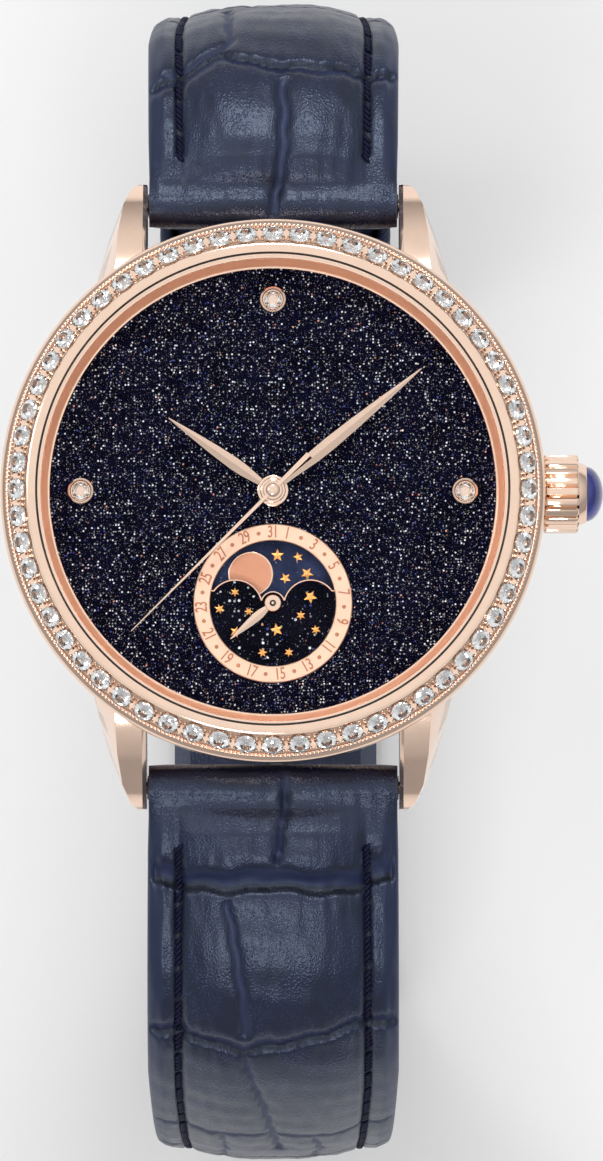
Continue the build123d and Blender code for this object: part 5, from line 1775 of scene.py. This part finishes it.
@dataclass
class StrapHalf:
    """One padded leather half with its creases, stitches and lining."""

    name: str
    node: str
    body: str
    side: int
    runs: tuple[Flat, ...]
    thick: float
    thin: float
    creases: tuple[Crease, ...]
    seam: float
    tip: float = 0.0
    holes: tuple[float, ...] = ()
    slot: float = 0.0
    bar: Flat = (18.5, BAR_LEVEL)
    heading: float = ROOT_HEADING
    width: float = 15.74
    pad_width: float = 16.10
    end_width: float = 14.00
    root: float = 1.45
    end_reach: float = 1.22
    end_round: float = 1.30
    row_step: float = 0.16
    columns: int = 105
    under_columns: int = 15
    crowding: float = 0.93
    hole_radius: float = 0.90
    cut_depth: float = 6.0
    stitch_step: float = 0.33
    stitch_run: int = 6
    seed: int = 1

    def ahead(self, start: tuple[float, ...], run: Flat, share: float) -> tuple[float, ...]:
        """Point along a run: a straight one has no radius and a length, an arc a radius and its last heading.

        Args:
            start: Length, y, z and heading where the run starts.
            run: The run.
            share: Share of the run.

        Returns:
            Length, y, z and heading.
        """
        length, y, z, angle = start
        radius, value = run
        first = math.radians(angle)
        if radius == 0:
            far = value * share
            return (length + far, y + far * math.cos(first), z - far * math.sin(first), angle)
        turn = angle + (value - angle) * share
        last = math.radians(turn)
        return (length + radius * math.radians(turn - angle), y + radius * (math.sin(last) - math.sin(first)),
                z - radius * (math.cos(first) - math.cos(last)), turn)

    def line(self) -> np.ndarray:
        """Follows the runs from the bar, as rows of length, y, z and heading.

        Returns:
            The rows.
        """
        steps = 60
        here = (0.0, *self.bar, self.heading)
        rows = []
        for run in self.runs:
            rows += [self.ahead(here, run, index / steps) for index in range(steps)]
            here = self.ahead(here, run, 1.0)
        return np.array([*rows, here])

    def heading_at(self, length: float) -> float:
        """Heading of the line at a length, in radians."""
        line = self.line()
        return math.radians(float(np.interp(length, line[:, 0], line[:, 3])))

    def normal_at(self, length: float) -> Vector:
        """Direction out of the leather at a length."""
        turn = self.heading_at(length)
        return Vector((0, self.side * math.sin(turn), math.cos(turn)))

    def middle_at(self, length: float) -> np.ndarray:
        """Point on the line at a length."""
        return self.spot(np.array([length]), np.array([0.0]), np.array([0.0]))[0]

    def spread(self, length: np.ndarray) -> tuple[np.ndarray, np.ndarray, np.ndarray, np.ndarray]:
        """Half width, inner side, edge and crown at lengths along the half.

        Args:
            length: Lengths from the bar.

        Returns:
            The four sizes.
        """
        rows = np.array([
            (-self.root, self.width, 0.25, 0.15, 0.25),
            (-1.25, self.width, 0.85, 0.75, 0.85),
            (-0.9, self.width, 1.20, 1.10, 1.24),
            (-0.4, self.width, 1.45, 1.30, 1.48),
            (0.0, self.width, 1.53, 1.36, 1.55),
            (0.55, self.width, 1.56, 1.25, 1.50),
            (1.0, self.width, 1.58, 1.10, 1.56),
            (1.6, self.width, 1.60, 0.95, 1.95),
            (2.6, self.width + 0.06, 1.60, 0.85, 2.40),
            (4.0, self.width + 0.14, 1.60, 0.75, 2.50),
            (self.thick, self.pad_width, 1.60, 0.70, 2.50),
            (self.thin, self.end_width, 1.10, 0.70, 1.30),
        ])
        half, inner, edge, crown = (np.interp(length, rows[:, 0], rows[:, column]) for column in range(1, 5))
        return half / 2, inner, edge, crown

    def gap_to(self, crease: Crease, length: np.ndarray, across: np.ndarray) -> np.ndarray:
        """Signed distance from a crease, positive beyond it along the half.

        Args:
            crease: The crease.
            length: Lengths along the half.
            across: Places across it.

        Returns:
            The distances, in millimetres.
        """
        wander = 0.09 * np.sin(across * 2.3 + crease.points[0][0]) + 0.06 * np.sin(length * 3.1 + across)
        far, aside = length + wander, across + wander
        best = np.full_like(length, 99.0)
        signed = np.full_like(length, 99.0)
        for (a, b), (c, d) in zip(crease.points, crease.points[1:]):
            run = np.array([c - a, d - b])
            share = np.clip(((far - a) * run[0] + (aside - b) * run[1]) / (run @ run), 0, 1)
            gap = np.hypot(far - a - share * run[0], aside - b - share * run[1])
            side = (run[1] * (far - a) - run[0] * (aside - b)) * (1 if run[1] >= 0 else -1)
            signed = np.where(gap < best, np.where(side < 0, -gap, gap), signed)
            best = np.minimum(best, gap)
        return signed

    def crease_field(self, length: np.ndarray, across: np.ndarray) -> tuple[np.ndarray, ...]:
        """Depth and masks of the creases at points of the surface.

        Args:
            length: Lengths along the half.
            across: Places across it.

        Returns:
            Depth in millimetres, mask of the smooth floors and mask of the painted shadow along the creases'
            walls.
        """
        depth = np.zeros_like(length)
        smooth = np.zeros_like(length)
        painted_shade = np.zeros_like(length)
        for crease in self.creases:
            gap = self.gap_to(crease, length, across)
            size = crease.width
            if crease.step:
                near = np.interp(gap, size * np.array([-6.4, -4.0, -2.4, -1.0, 0.0, 1.2, 1.9, 2.4, 3.6]),
                                 [0, 0.12, 0.45, 0.85, 1, 1, 0.35, 0.05, 0])
                floor = np.interp(gap, size * np.array([-3.2, -2.4, 0.4, 1.2]), [0, 1, 1, 0])
                # Painted shadow on the groove floor at the foot of the step's steep wall.
                dark = np.interp(gap, size * np.array([0.0, 0.7, 1.8, 2.3]), [0, 1, 1, 0])
                pull = np.exp(-np.maximum(np.abs(gap) - 2.2 * size, 0) / 0.8)
            else:
                near = np.interp(np.abs(gap), size * np.array([0, 0.7, 1.4, 2.4, 4.0]),
                                 [1, 0.95, 0.4, 0.08, 0])
                floor = np.interp(np.abs(gap), size * np.array([0.9, 1.3]), [1, 0])
                # Painted shadow: a thin dark line along one side of the crease.
                dark = 0.75 * np.exp(-((gap - 1.1 * size) / (0.35 * size)) ** 2)
                pull = np.exp(-np.maximum(np.abs(gap) - 1.5 * size, 0) / 0.45) * 0.5
            fold = np.sin(across * 11.0 + 1.6 * np.sin(across * 2.9 + length * 0.8))
            crossing = abs(crease.points[-1][1] - crease.points[0][1]) > 5
            ridge = 0.06 * pull * fold * (1 - near) * crossing
            depth = np.maximum(depth, crease.depth * near + 0.10 * np.exp(-np.abs(gap) / 1.3)) + ridge
            smooth = np.maximum(smooth, floor)
            painted_shade = np.maximum(painted_shade, dark)
        return depth, smooth, painted_shade

    def surface(self, length: np.ndarray, share: np.ndarray) -> tuple[np.ndarray, ...]:
        """Outer face: place across, height and the masks for the finish.

        Args:
            length: Lengths along the half.
            share: Shares of the half width, from -1 to 1.

        Returns:
            Place across, height, smooth mask, painted shade mask for the crease shadows and the seam channel,
            and edge mask, which is partly a painted rim highlight.
        """
        half, _, edge, crown = self.spread(length)
        half = half * self.tip_share(length)
        across = share * half
        from_edge = half - np.abs(across)
        seam = self.seam
        sewn = np.clip((length - self.seam_start()) / 0.3, 0, 1)
        flat = edge + 0.42 * (crown - edge)
        rise = edge + (flat - edge) * np.clip(from_edge / 0.9, 0, 1) ** 0.6
        inside = np.clip((from_edge - seam) / np.maximum(half - seam, 0.1), 0, 1)
        swell = flat + (crown - flat) * np.sin(np.clip(inside * 1.45, 0, 1) * math.pi / 2) ** 0.8
        height = np.where(from_edge < seam, rise, swell)
        channel = np.exp(-((from_edge - seam) / 0.30) ** 4) * sewn
        height = height - 0.20 * channel
        depth, smooth, painted_shade = self.crease_field(length, across)
        fade = np.clip((length + 1.4) / 1.0, 0, 1) * np.clip(from_edge / 0.5, 0.25, 1)
        height = height - fade * (depth - self.wrinkles(length, across))
        border = 0.45 * np.clip((1.05 - from_edge) / 0.2, 0, 1) * np.clip((length - 1.8) / 0.5, 0, 1)
        # Edge mask for the lighter cut edge: partly edge paint, partly a painted rim highlight.
        rim = np.exp(-(from_edge / 0.07) ** 2)
        # The shade mask also takes the seam channel: painted shadow in the channel.
        return across, height, np.maximum(smooth * fade, border), np.maximum(painted_shade * fade, 0.9 * channel), rim

    def wrinkles(self, length: np.ndarray, across: np.ndarray) -> np.ndarray:
        """Shallow wrinkles drawn along the half, deeper near the crossing creases.

        Args:
            length: Lengths along the half.
            across: Places across it.

        Returns:
            The height of the wrinkles.
        """
        total = np.zeros_like(length)
        dice = random.Random(self.seed)
        for _ in range(16):
            pitch = dice.uniform(2.0, 7.0)
            lean = dice.uniform(-0.8, 0.8)
            wave = np.sin(across * pitch + length * lean + dice.uniform(0, 6))
            total += wave * np.sin(length * dice.uniform(0.3, 1.6) + dice.uniform(0, 6)) * 0.008
        for _ in range(10):
            pitch = dice.uniform(1.4, 3.6)
            total += np.sin(length * pitch + across * dice.uniform(-0.9, 0.9) + dice.uniform(0, 6)) * 0.006
        return total

    def tip_share(self, length: np.ndarray) -> np.ndarray:
        """Share of the width that is left in the rounded tip.

        Args:
            length: Lengths along the half.

        Returns:
            The shares.
        """
        if not self.tip:
            return np.ones_like(length)
        end = self.line()[-1][0]
        share = np.clip((length - (end - self.tip)) / self.tip, 0, 1)
        return np.sqrt(1 - (0.985 * share) ** 2.2)

    def spot(self, length: np.ndarray, across: np.ndarray, height: np.ndarray) -> np.ndarray:
        """Points in the frame, in millimetres.

        Args:
            length: Lengths along the half.
            across: Places across it.
            height: Heights over its line.

        Returns:
            Rows of x, y and z.
        """
        line = self.line()
        y = np.interp(length, line[:, 0], line[:, 1])
        z = np.interp(length, line[:, 0], line[:, 2])
        turn = np.radians(np.interp(length, line[:, 0], line[:, 3]))
        short = np.minimum(length, 0)
        over = np.maximum(length - line[-1, 0], 0)
        y = y + (short + over) * np.cos(turn) + height * np.sin(turn)
        z = z - (short + over) * np.sin(turn) + height * np.cos(turn)
        return np.stack([across, self.side * y, z], axis=-1)

    def sheet(self) -> Piece:
        """Builds the padded form from a grid whose corners are moved to their places.

        Returns:
            The leather, with its seam and ends still to be closed and its holes to be cut.
        """
        end = float(self.line()[-1][0])
        over = 0.0 if self.tip else self.end_reach
        count = int((end + over + self.root) / self.row_step)
        lengths = np.linspace(-self.root, end + over, count)
        even = np.linspace(-1, 1, self.columns)
        top = np.sin(even * math.pi / 2 * self.crowding) / math.sin(math.pi / 2 * self.crowding)
        under = np.linspace(1, -1, self.under_columns)[1:-1]
        around = len(top) + len(under) + 1
        piece = primitive(self.name, bpy.ops.mesh.primitive_grid_add, x_subdivisions=around - 1,
                          y_subdivisions=count - 1, size=2.0)
        corners = np.zeros(len(piece.data.vertices) * 3)
        piece.data.vertices.foreach_get("co", corners)
        corners = corners.reshape(-1, 3)
        columns = np.rint((corners[:, 0] + 1) / 2 * (around - 1)).astype(int)
        rows = np.rint((corners[:, 1] + 1) / 2 * (count - 1)).astype(int)
        length = lengths[rows]
        half, inner, _, _ = self.spread(length)
        closing = np.ones_like(length)
        if not self.tip:
            closing = np.sqrt(np.clip(1 - (np.maximum(length - end, 0) / self.end_round) ** 2, 0.04, 1))
        place = np.where(columns < len(top), columns, 0)
        share = top[np.minimum(place, len(top) - 1)]
        across, height, crease, painted_shade, rim = self.surface(length, share)
        below = np.concatenate([np.zeros(len(top)), under, [-1.0]])[columns]
        lower = columns >= len(top)
        last = columns == around - 1
        across = np.where(lower, below * (half * self.tip_share(length) - 0.12), across)
        height = np.where(lower, -inner, height)
        height = height * closing
        first_across, first_height, *_ = self.surface(length, np.full_like(length, -1.0))
        across = np.where(last, first_across, across)
        height = np.where(last, first_height * closing, height)
        points = self.spot(length, across, height)
        piece.data.vertices.foreach_set("co", points.ravel())
        self.mark(piece, "crease", np.where(lower, 0.0, crease))
        # The shade mask carries painted shadow to the finish.
        self.mark(piece, "painted_shade", np.where(lower, 0.0, painted_shade))
        self.mark(piece, "edge", np.where(lower & ~last, 0.0, rim))
        lay_skin(piece, across, length)
        return piece

    def mark(self, piece: Piece, name: str, values: np.ndarray) -> None:
        """Keeps a value at each corner for the finish."""
        row = piece.data.attributes.new(name, "FLOAT", "POINT")
        row.data.foreach_set("value", values.astype(float))

    def cutters(self) -> list[Piece]:
        """Round holes and the tongue's slot, as pieces to cut with.

        Returns:
            The pieces, one for each round hole and one for a slot.
        """
        pieces = []
        for length in self.holes:
            turned = self.normal_at(length).to_track_quat("Z", "Y").to_euler()
            pieces.append(primitive("hole", bpy.ops.mesh.primitive_cylinder_add, vertices=28,
                                    radius=self.hole_radius, depth=self.cut_depth,
                                    location=self.middle_at(length), rotation=turned))
        if self.slot:
            pieces.append(primitive("slot", bpy.ops.mesh.primitive_cube_add, size=1.0,
                                    location=self.middle_at(self.line()[-1, 0]),
                                    scale=(self.slot, 5.0, self.cut_depth)))
        return pieces

    def stitches(self) -> Piece:
        """Lays slanted stitches along both seams, like a fine rope.

        Returns:
            All the stitches as one piece.
        """
        stitch = primitive("stitch", bpy.ops.mesh.primitive_uv_sphere_add, segments=7, ring_count=5,
                           radius=0.5)
        with editing(stitch):
            bpy.ops.transform.resize(value=(0.27, 0.80, 0.34))
        end = self.line()[-1, 0] - (6.0 if self.tip else 3.0)
        start = self.seam_start()
        places = []
        for hand in (-1, 1):
            for index, length in enumerate(np.arange(start, end, self.stitch_step)):
                if index % self.stitch_run == self.stitch_run - 1:
                    continue
                row = np.array([length])
                half = float(self.spread(row)[0][0])
                share = hand * (half - self.seam) / half
                across, height, *_ = self.surface(row, np.array([share]))
                spot = self.spot(row, across, height + 0.10)[0]
                lean = Matrix.Rotation(math.radians(38 * self.side), 4, "Z")
                tip = Matrix.Rotation(-self.side * self.heading_at(length), 4, "X")
                places.append(at(*spot) @ tip @ lean)
        return repeated(self.name + "_stitches", stitch, places)

    def seam_start(self) -> float:
        """Length at which the seams begin."""
        return 2.7 if self.side > 0 else 3.6

    def build(self, finishes: Finishes) -> None:
        """Builds the half and its stitches.

        Args:
            finishes: The watch's finishes.
        """
        piece = self.sheet()
        with editing(piece):
            outward()
            pick(Part.EDGE, lambda edge: len(edge.link_faces) == 1)
            bpy.ops.mesh.edge_face_add()
            outward()
        cutters = self.cutters()
        if cutters:
            cutter = joined("cutter", cutters)
            finished(piece, "BOOLEAN", operation="DIFFERENCE", object=cutter, solver="EXACT")
            bpy.data.objects.remove(cutter)
        piece.data.materials.append(finishes.leather)
        settle(piece, finishes.leather, self.body, [self.node], 50)
        settle(self.stitches(), finishes.thread, self.body, smooth=60)


def scale_rows(start: float, end: float, calm: float, seed: int) -> tuple[Crease, ...]:
    """Rows of scales for the stretch that the view from above doesn't show.

    Args:
        start: Length at which the rows begin.
        end: Length at which they end.
        calm: Length up to which they are shallow, as over the crest.
        seed: Seed of the pattern.

    Returns:
        The creases.
    """
    dice = random.Random(seed)
    rows = []
    length = start
    while length < end - 3:
        across = [-8.2, -4.0, 0.0, 4.0, 8.2]
        deep = 0.20 if length > calm else 0.08
        rows.append(Crease(tuple((length + dice.uniform(-0.5, 0.5), place) for place in across), 0.2, deep))
        step = dice.uniform(5.5, 8.5)
        for place in dice.sample([-3.6, -0.4, 2.9], 2):
            shift = dice.uniform(-0.8, 0.8)
            bend = (length + step / 2, place + shift + dice.uniform(-0.5, 0.5))
            ends = ((length, place + shift), (length + step, place + shift))
            rows.append(Crease((ends[0], bend, ends[1]), 0.16, 0.8 * deep))
        length += step
    return tuple(rows)


def stand_radius(start: float, bend: float, side: float, foot: float, foot_radius: float,
                 straight: float = 0.0) -> float:
    """Radius of a half's long arc, so that its end comes down to the buckle's level.

    Args:
        start: First straight run.
        bend: Radius of the first arc.
        side: Heading after the first arc.
        foot: Heading after the long arc.
        foot_radius: Radius of the last arc.
        straight: Straight run after the long arc.

    Returns:
        The radius.
    """
    heading = math.radians(ROOT_HEADING)
    side, foot = math.radians(side), math.radians(foot)
    level = BAR_LEVEL - start * math.sin(heading) - bend * (math.cos(heading) - math.cos(side))
    level -= straight * math.sin(foot) + foot_radius * (math.cos(foot) + 1)
    return (level + FOOT_DEPTH) / (math.cos(side) - math.cos(foot))


@dataclass
class Keeper:
    """Leather loop round the strap, with a rounded section."""

    name: str
    node: str
    body: str
    length: float
    gap: float
    wide: float = 4.0
    wall: float = 0.9
    tail_room: float = 2.6

    def build(self, half: StrapHalf, finishes: Finishes) -> None:
        """Builds the loop round a strap half.

        Args:
            half: The strap half that carries it.
            finishes: The watch's finishes.
        """
        row = np.array([self.length])
        reach, inner, _, crown = (float(value[0]) for value in half.spread(row))
        right = reach + self.gap
        low, high = -inner - self.gap, crown + self.tail_room
        corner = 0.6
        points = []
        for x, y, first in ((right, high, 0), (-right, high, 90), (-right, low, 180), (right, low, 270)):
            centre = (x - math.copysign(corner, x), y - corner if y == high else y + corner)
            for index in range(6):
                turn = math.radians(first + 18 * index)
                points.append((centre[0] + corner * math.cos(turn), centre[1] + corner * math.sin(turn),
                               -self.wide / 2))
        loop = trace(self.name, points, closed=True)
        with editing(loop):
            bpy.ops.mesh.extrude_edges_move(TRANSFORM_OT_translate={"value": (0, 0, self.wide)})
            outward()
        finished(loop, "SOLIDIFY", thickness=self.wall, offset=1.0, use_even_offset=True)
        finished(loop, "BEVEL", width=0.28, segments=4, limit_method="ANGLE", angle_limit=math.radians(50))
        turn = half.heading_at(self.length)
        way = Vector((0, half.side * math.cos(turn), -math.sin(turn)))
        normal = half.normal_at(self.length)
        basis = Matrix((normal.cross(way), normal, way)).transposed().to_4x4()
        lengths = np.array([corner_point.co[:] for corner_point in loop.data.vertices])
        lay_skin(loop, lengths[:, 0] + lengths[:, 1], lengths[:, 2])
        loop.data.transform(at(*half.middle_at(self.length)) @ basis)
        with editing(loop):
            bpy.ops.mesh.normals_make_consistent(inside=False)
        settle(loop, finishes.leather, self.body, [self.node], 50)


class Strap:
    """Both strap halves with the keepers."""

    def __init__(self) -> None:
        """Sets the halves' sizes and creases."""
        near = (
            Crease(((7.3, -7.9), (8.1, -5.44), (9.1, -3.28), (8.35, -1.17), (8.1, 0.88), (8.1, 3.3),
                    (8.1, 5.53), (8.4, 8.1)), 0.14, 0.34, True),
            Crease(((8.1, -6.97), (8.85, -5.0), (9.75, -3.2)), 0.2, 0.20),
            Crease(((9.75, -3.2), (10.1, -2.8), (11.1, -2.85), (15.5, -2.97)), 0.2, 0.18),
            Crease(((7.0, 0.7), (5.1, 0.75), (2.8, 0.63), (0.75, 0.31), (-1.0, 0.0)), 0.22, 0.30),
        )
        far = (
            Crease(((-1.2, 0.85), (0.0, 0.82), (1.26, 0.69), (4.3, 0.25)), 0.2, 0.26),
            Crease(((5.2, -8.2), (5.4, -7.3), (5.8, -5.67), (5.85, -2.96), (5.6, 0.18), (5.8, 1.38),
                    (5.95, 3.55), (5.85, 5.17), (5.2, 7.34), (5.0, 8.2)), 0.29, 0.58, True),
            Crease(((7.1, -2.91), (9.35, -2.41), (12.9, -1.91), (14.9, -1.79)), 0.2, 0.22),
            Crease(((15.4, -8.2), (15.4, -5.55), (16.1, -1.92), (15.4, 1.7), (14.6, 5.39), (14.9, 8.2)),
                   0.16, 0.34, True),
            Crease(((16.4, -1.93), (21.4, -0.67), (30.2, 0.27)), 0.2, 0.20),
        )
        short = stand_radius(3.83, 9.64, 70.0, 120.0, 7.0, 17.0)
        tail = stand_radius(9.09, 12.0, 60.0, 125.0, 14.0)
        self.upper = StrapHalf(
            "strap_upper", "strap_buckle_side", "strap_12", 1,
            ((0, 3.83), (9.64, 70.0), (short, 120.0), (0, 17.0), (7.0, 180.0), (0, 2.0)),
            12.3, 40.0, near + scale_rows(17.0, 66.0, 29.0, 5), 2.0, slot=2.4, seed=3)
        self.lower = StrapHalf(
            "strap_lower", "strap_tail_side", "strap_6", -1,
            ((0, 9.09), (12.0, 60.0), (tail, 125.0), (14.0, 180.0), (0, 21.56)),
            20.0, 60.6, far + scale_rows(27.0, 90.0, 46.0, 9), 2.0, tip=5.0,
            holes=tuple(50.0 + 6.0 * index for index in range(7)), seed=8)
        self.keepers = (
            Keeper("fixed_keeper_loop", "fixed_keeper", "strap_12", 54.5, 0.0),
            Keeper("free_keeper_loop", "free_keeper", "free_keeper", 47.0, 0.15),
        )

    def build(self, finishes: Finishes) -> None:
        """Builds the halves and the keepers.

        Args:
            finishes: The watch's finishes.
        """
        self.upper.build(finishes)
        self.lower.build(finishes)
        for keeper in self.keepers:
            keeper.build(self.upper, finishes)


@dataclass
class Buckle:
    """Buckle frame, bar and tongue, on their own solids with rounded edges."""

    edge: float = 0.25

    def build(self, finishes: Finishes, case: Case) -> None:
        """Dresses the buckle's solids.

        Args:
            finishes: The watch's finishes.
            case: Dresses the solids.
        """
        case.dress("buckle_frame", finishes.rose_gold, self.edge)
        case.dress("buckle_bar", finishes.rose_gold, 0.05)
        case.dress("buckle_tongue", finishes.rose_gold, 0.12)


# Movement


@dataclass
class Movement:
    """Plates, wheels, springs, jewels and rotor, each on its own solid."""

    edge: float = 0.04

    def build(self, finishes: Finishes, case: Case) -> None:
        """Dresses the movement's solids.

        Args:
            finishes: The watch's finishes.
            case: Dresses the solids.
        """
        rows = {
            finishes.bridge: ("barrel_bridge", "train_bridge", "balance_cock", "pallet_cock"),
            finishes.plate: ("mainplate", "movement_ring"),
            finishes.ruby: ("jewels",),
            finishes.blued: ("movement_screws", "hairspring"),
            finishes.rotor_gold: ("rotor",),
            finishes.steel: ("rotor_bearing", "click", "pallet_fork", "winding_stem", "winding_pinion",
                             "cannon_pinion", "jumper_springs"),
            finishes.steel_brushed: ("ratchet_wheel", "crown_wheel", "escape_wheel"),
            finishes.brass: ("barrel", "centre_wheel", "third_wheel", "fourth_wheel", "balance_wheel",
                             "minute_wheel", "hour_wheel", "calendar_wheel", "date_star"),
            finishes.spring: ("mainspring",),
            finishes.gasket: ("crown_seal",),
        }
        for finish, nodes in rows.items():
            for node in nodes:
                wide = self.edge if finish in (finishes.bridge, finishes.plate, finishes.rotor_gold) else 0.0
                case.dress(node, finish, wide)


# Studio


@dataclass
class Studio:
    """Camera, floor, soft lamps and an even sky."""

    floor_level: float = -0.05125
    aim: Point = (0.00180, -0.00560, 0.0065)
    away: float = 0.55
    elevation: float = 86.5
    seen_height: float = 0.0731
    sensor: float = 36.0
    lamps: tuple[tuple[str, Point, Flat, float], ...] = (
        ("upper", (0.01, 0.45, 0.53), (0.17, 0.09), 1.25),
        ("lower", (-0.07, -0.37, 0.60), (0.14, 0.08), 0.80),
        ("left", (-0.42, 0.12, 0.55), (0.14, 0.14), 0.35),
    )

    def camera(self) -> None:
        """Places a long lens almost straight over the dial, as in the photograph."""
        turn = math.radians(self.elevation)
        back = Vector((0, -math.cos(turn), math.sin(turn)))
        bpy.ops.object.camera_add(location=Vector(self.aim) + back * self.away)
        camera = bpy.context.object
        camera.name = "camera"
        camera.rotation_euler = back.to_track_quat("Z", "Y").to_euler()
        camera.data.sensor_width = self.sensor
        camera.data.lens = self.sensor / 2 * self.away / (self.seen_height / 2)
        camera.data.clip_start = 0.01
        camera.data.clip_end = 20.0
        bpy.context.scene.camera = camera

    def floor(self) -> None:
        """Lays the pale floor."""
        deselect()
        bpy.ops.mesh.primitive_plane_add(size=6.0, location=(0, 0, self.floor_level))
        floor = bpy.context.object
        floor.name = "floor"
        material, _, _ = blank("pale_floor", Roughness=0.9, Specular_IOR_Level=0.1,
                               Base_Color=(0.90, 0.90, 0.90, 1.0))
        floor.data.materials.append(material)

    def sky(self) -> None:
        """Sets an even sky, a little darker towards the horizon and behind the camera."""
        world = bpy.data.worlds.new("even_sky")
        bpy.context.scene.world = world
        world.use_nodes = True
        graph = Graph(world.node_tree)
        ground = world.node_tree.nodes["Background"]
        parts = graph.add("SeparateXYZ")
        graph.join(graph.add("TexCoord").outputs["Generated"], parts.inputs[0])
        lean = graph.value("ADD", graph.value("MULTIPLY", parts.outputs[2], 0.9),
                           graph.value("MULTIPLY", parts.outputs[1], 0.25))
        share = graph.between(lean, 0.30, 0.85)
        graph.join(graph.blend(share, (0.40, 0.40, 0.41), (1.0, 1.0, 1.0)), ground.inputs["Color"])
        ground.inputs["Strength"].default_value = 1.0

    def build(self) -> None:
        """Builds the studio."""
        self.camera()
        self.floor()
        self.sky()
        for name, place, size, power in self.lamps:
            bpy.ops.object.light_add(type="AREA", location=place)
            lamp = bpy.context.object
            lamp.name = name
            lamp.data.shape = "RECTANGLE"
            lamp.data.size, lamp.data.size_y = size
            lamp.data.energy = power
            lamp.rotation_euler = Vector(place).to_track_quat("Z", "Y").to_euler()
        bpy.context.scene.view_settings.view_transform = "Standard"


def main() -> None:
    """Builds the watch's parts in order."""
    logging.basicConfig(level=logging.INFO, format="%(name)s: %(message)s")
    finishes = Finishes()
    case = Case()
    Studio().build()
    case.build(finishes)
    Bezel().build(finishes)
    Crown().build(finishes)
    DialSide().build(finishes, case)
    MoonDisplay().build(finishes)
    Hands().build(finishes)
    Strap().build(finishes)
    Buckle().build(finishes, case)
    Movement().build(finishes, case)


if __name__ == "__main__":
    main()
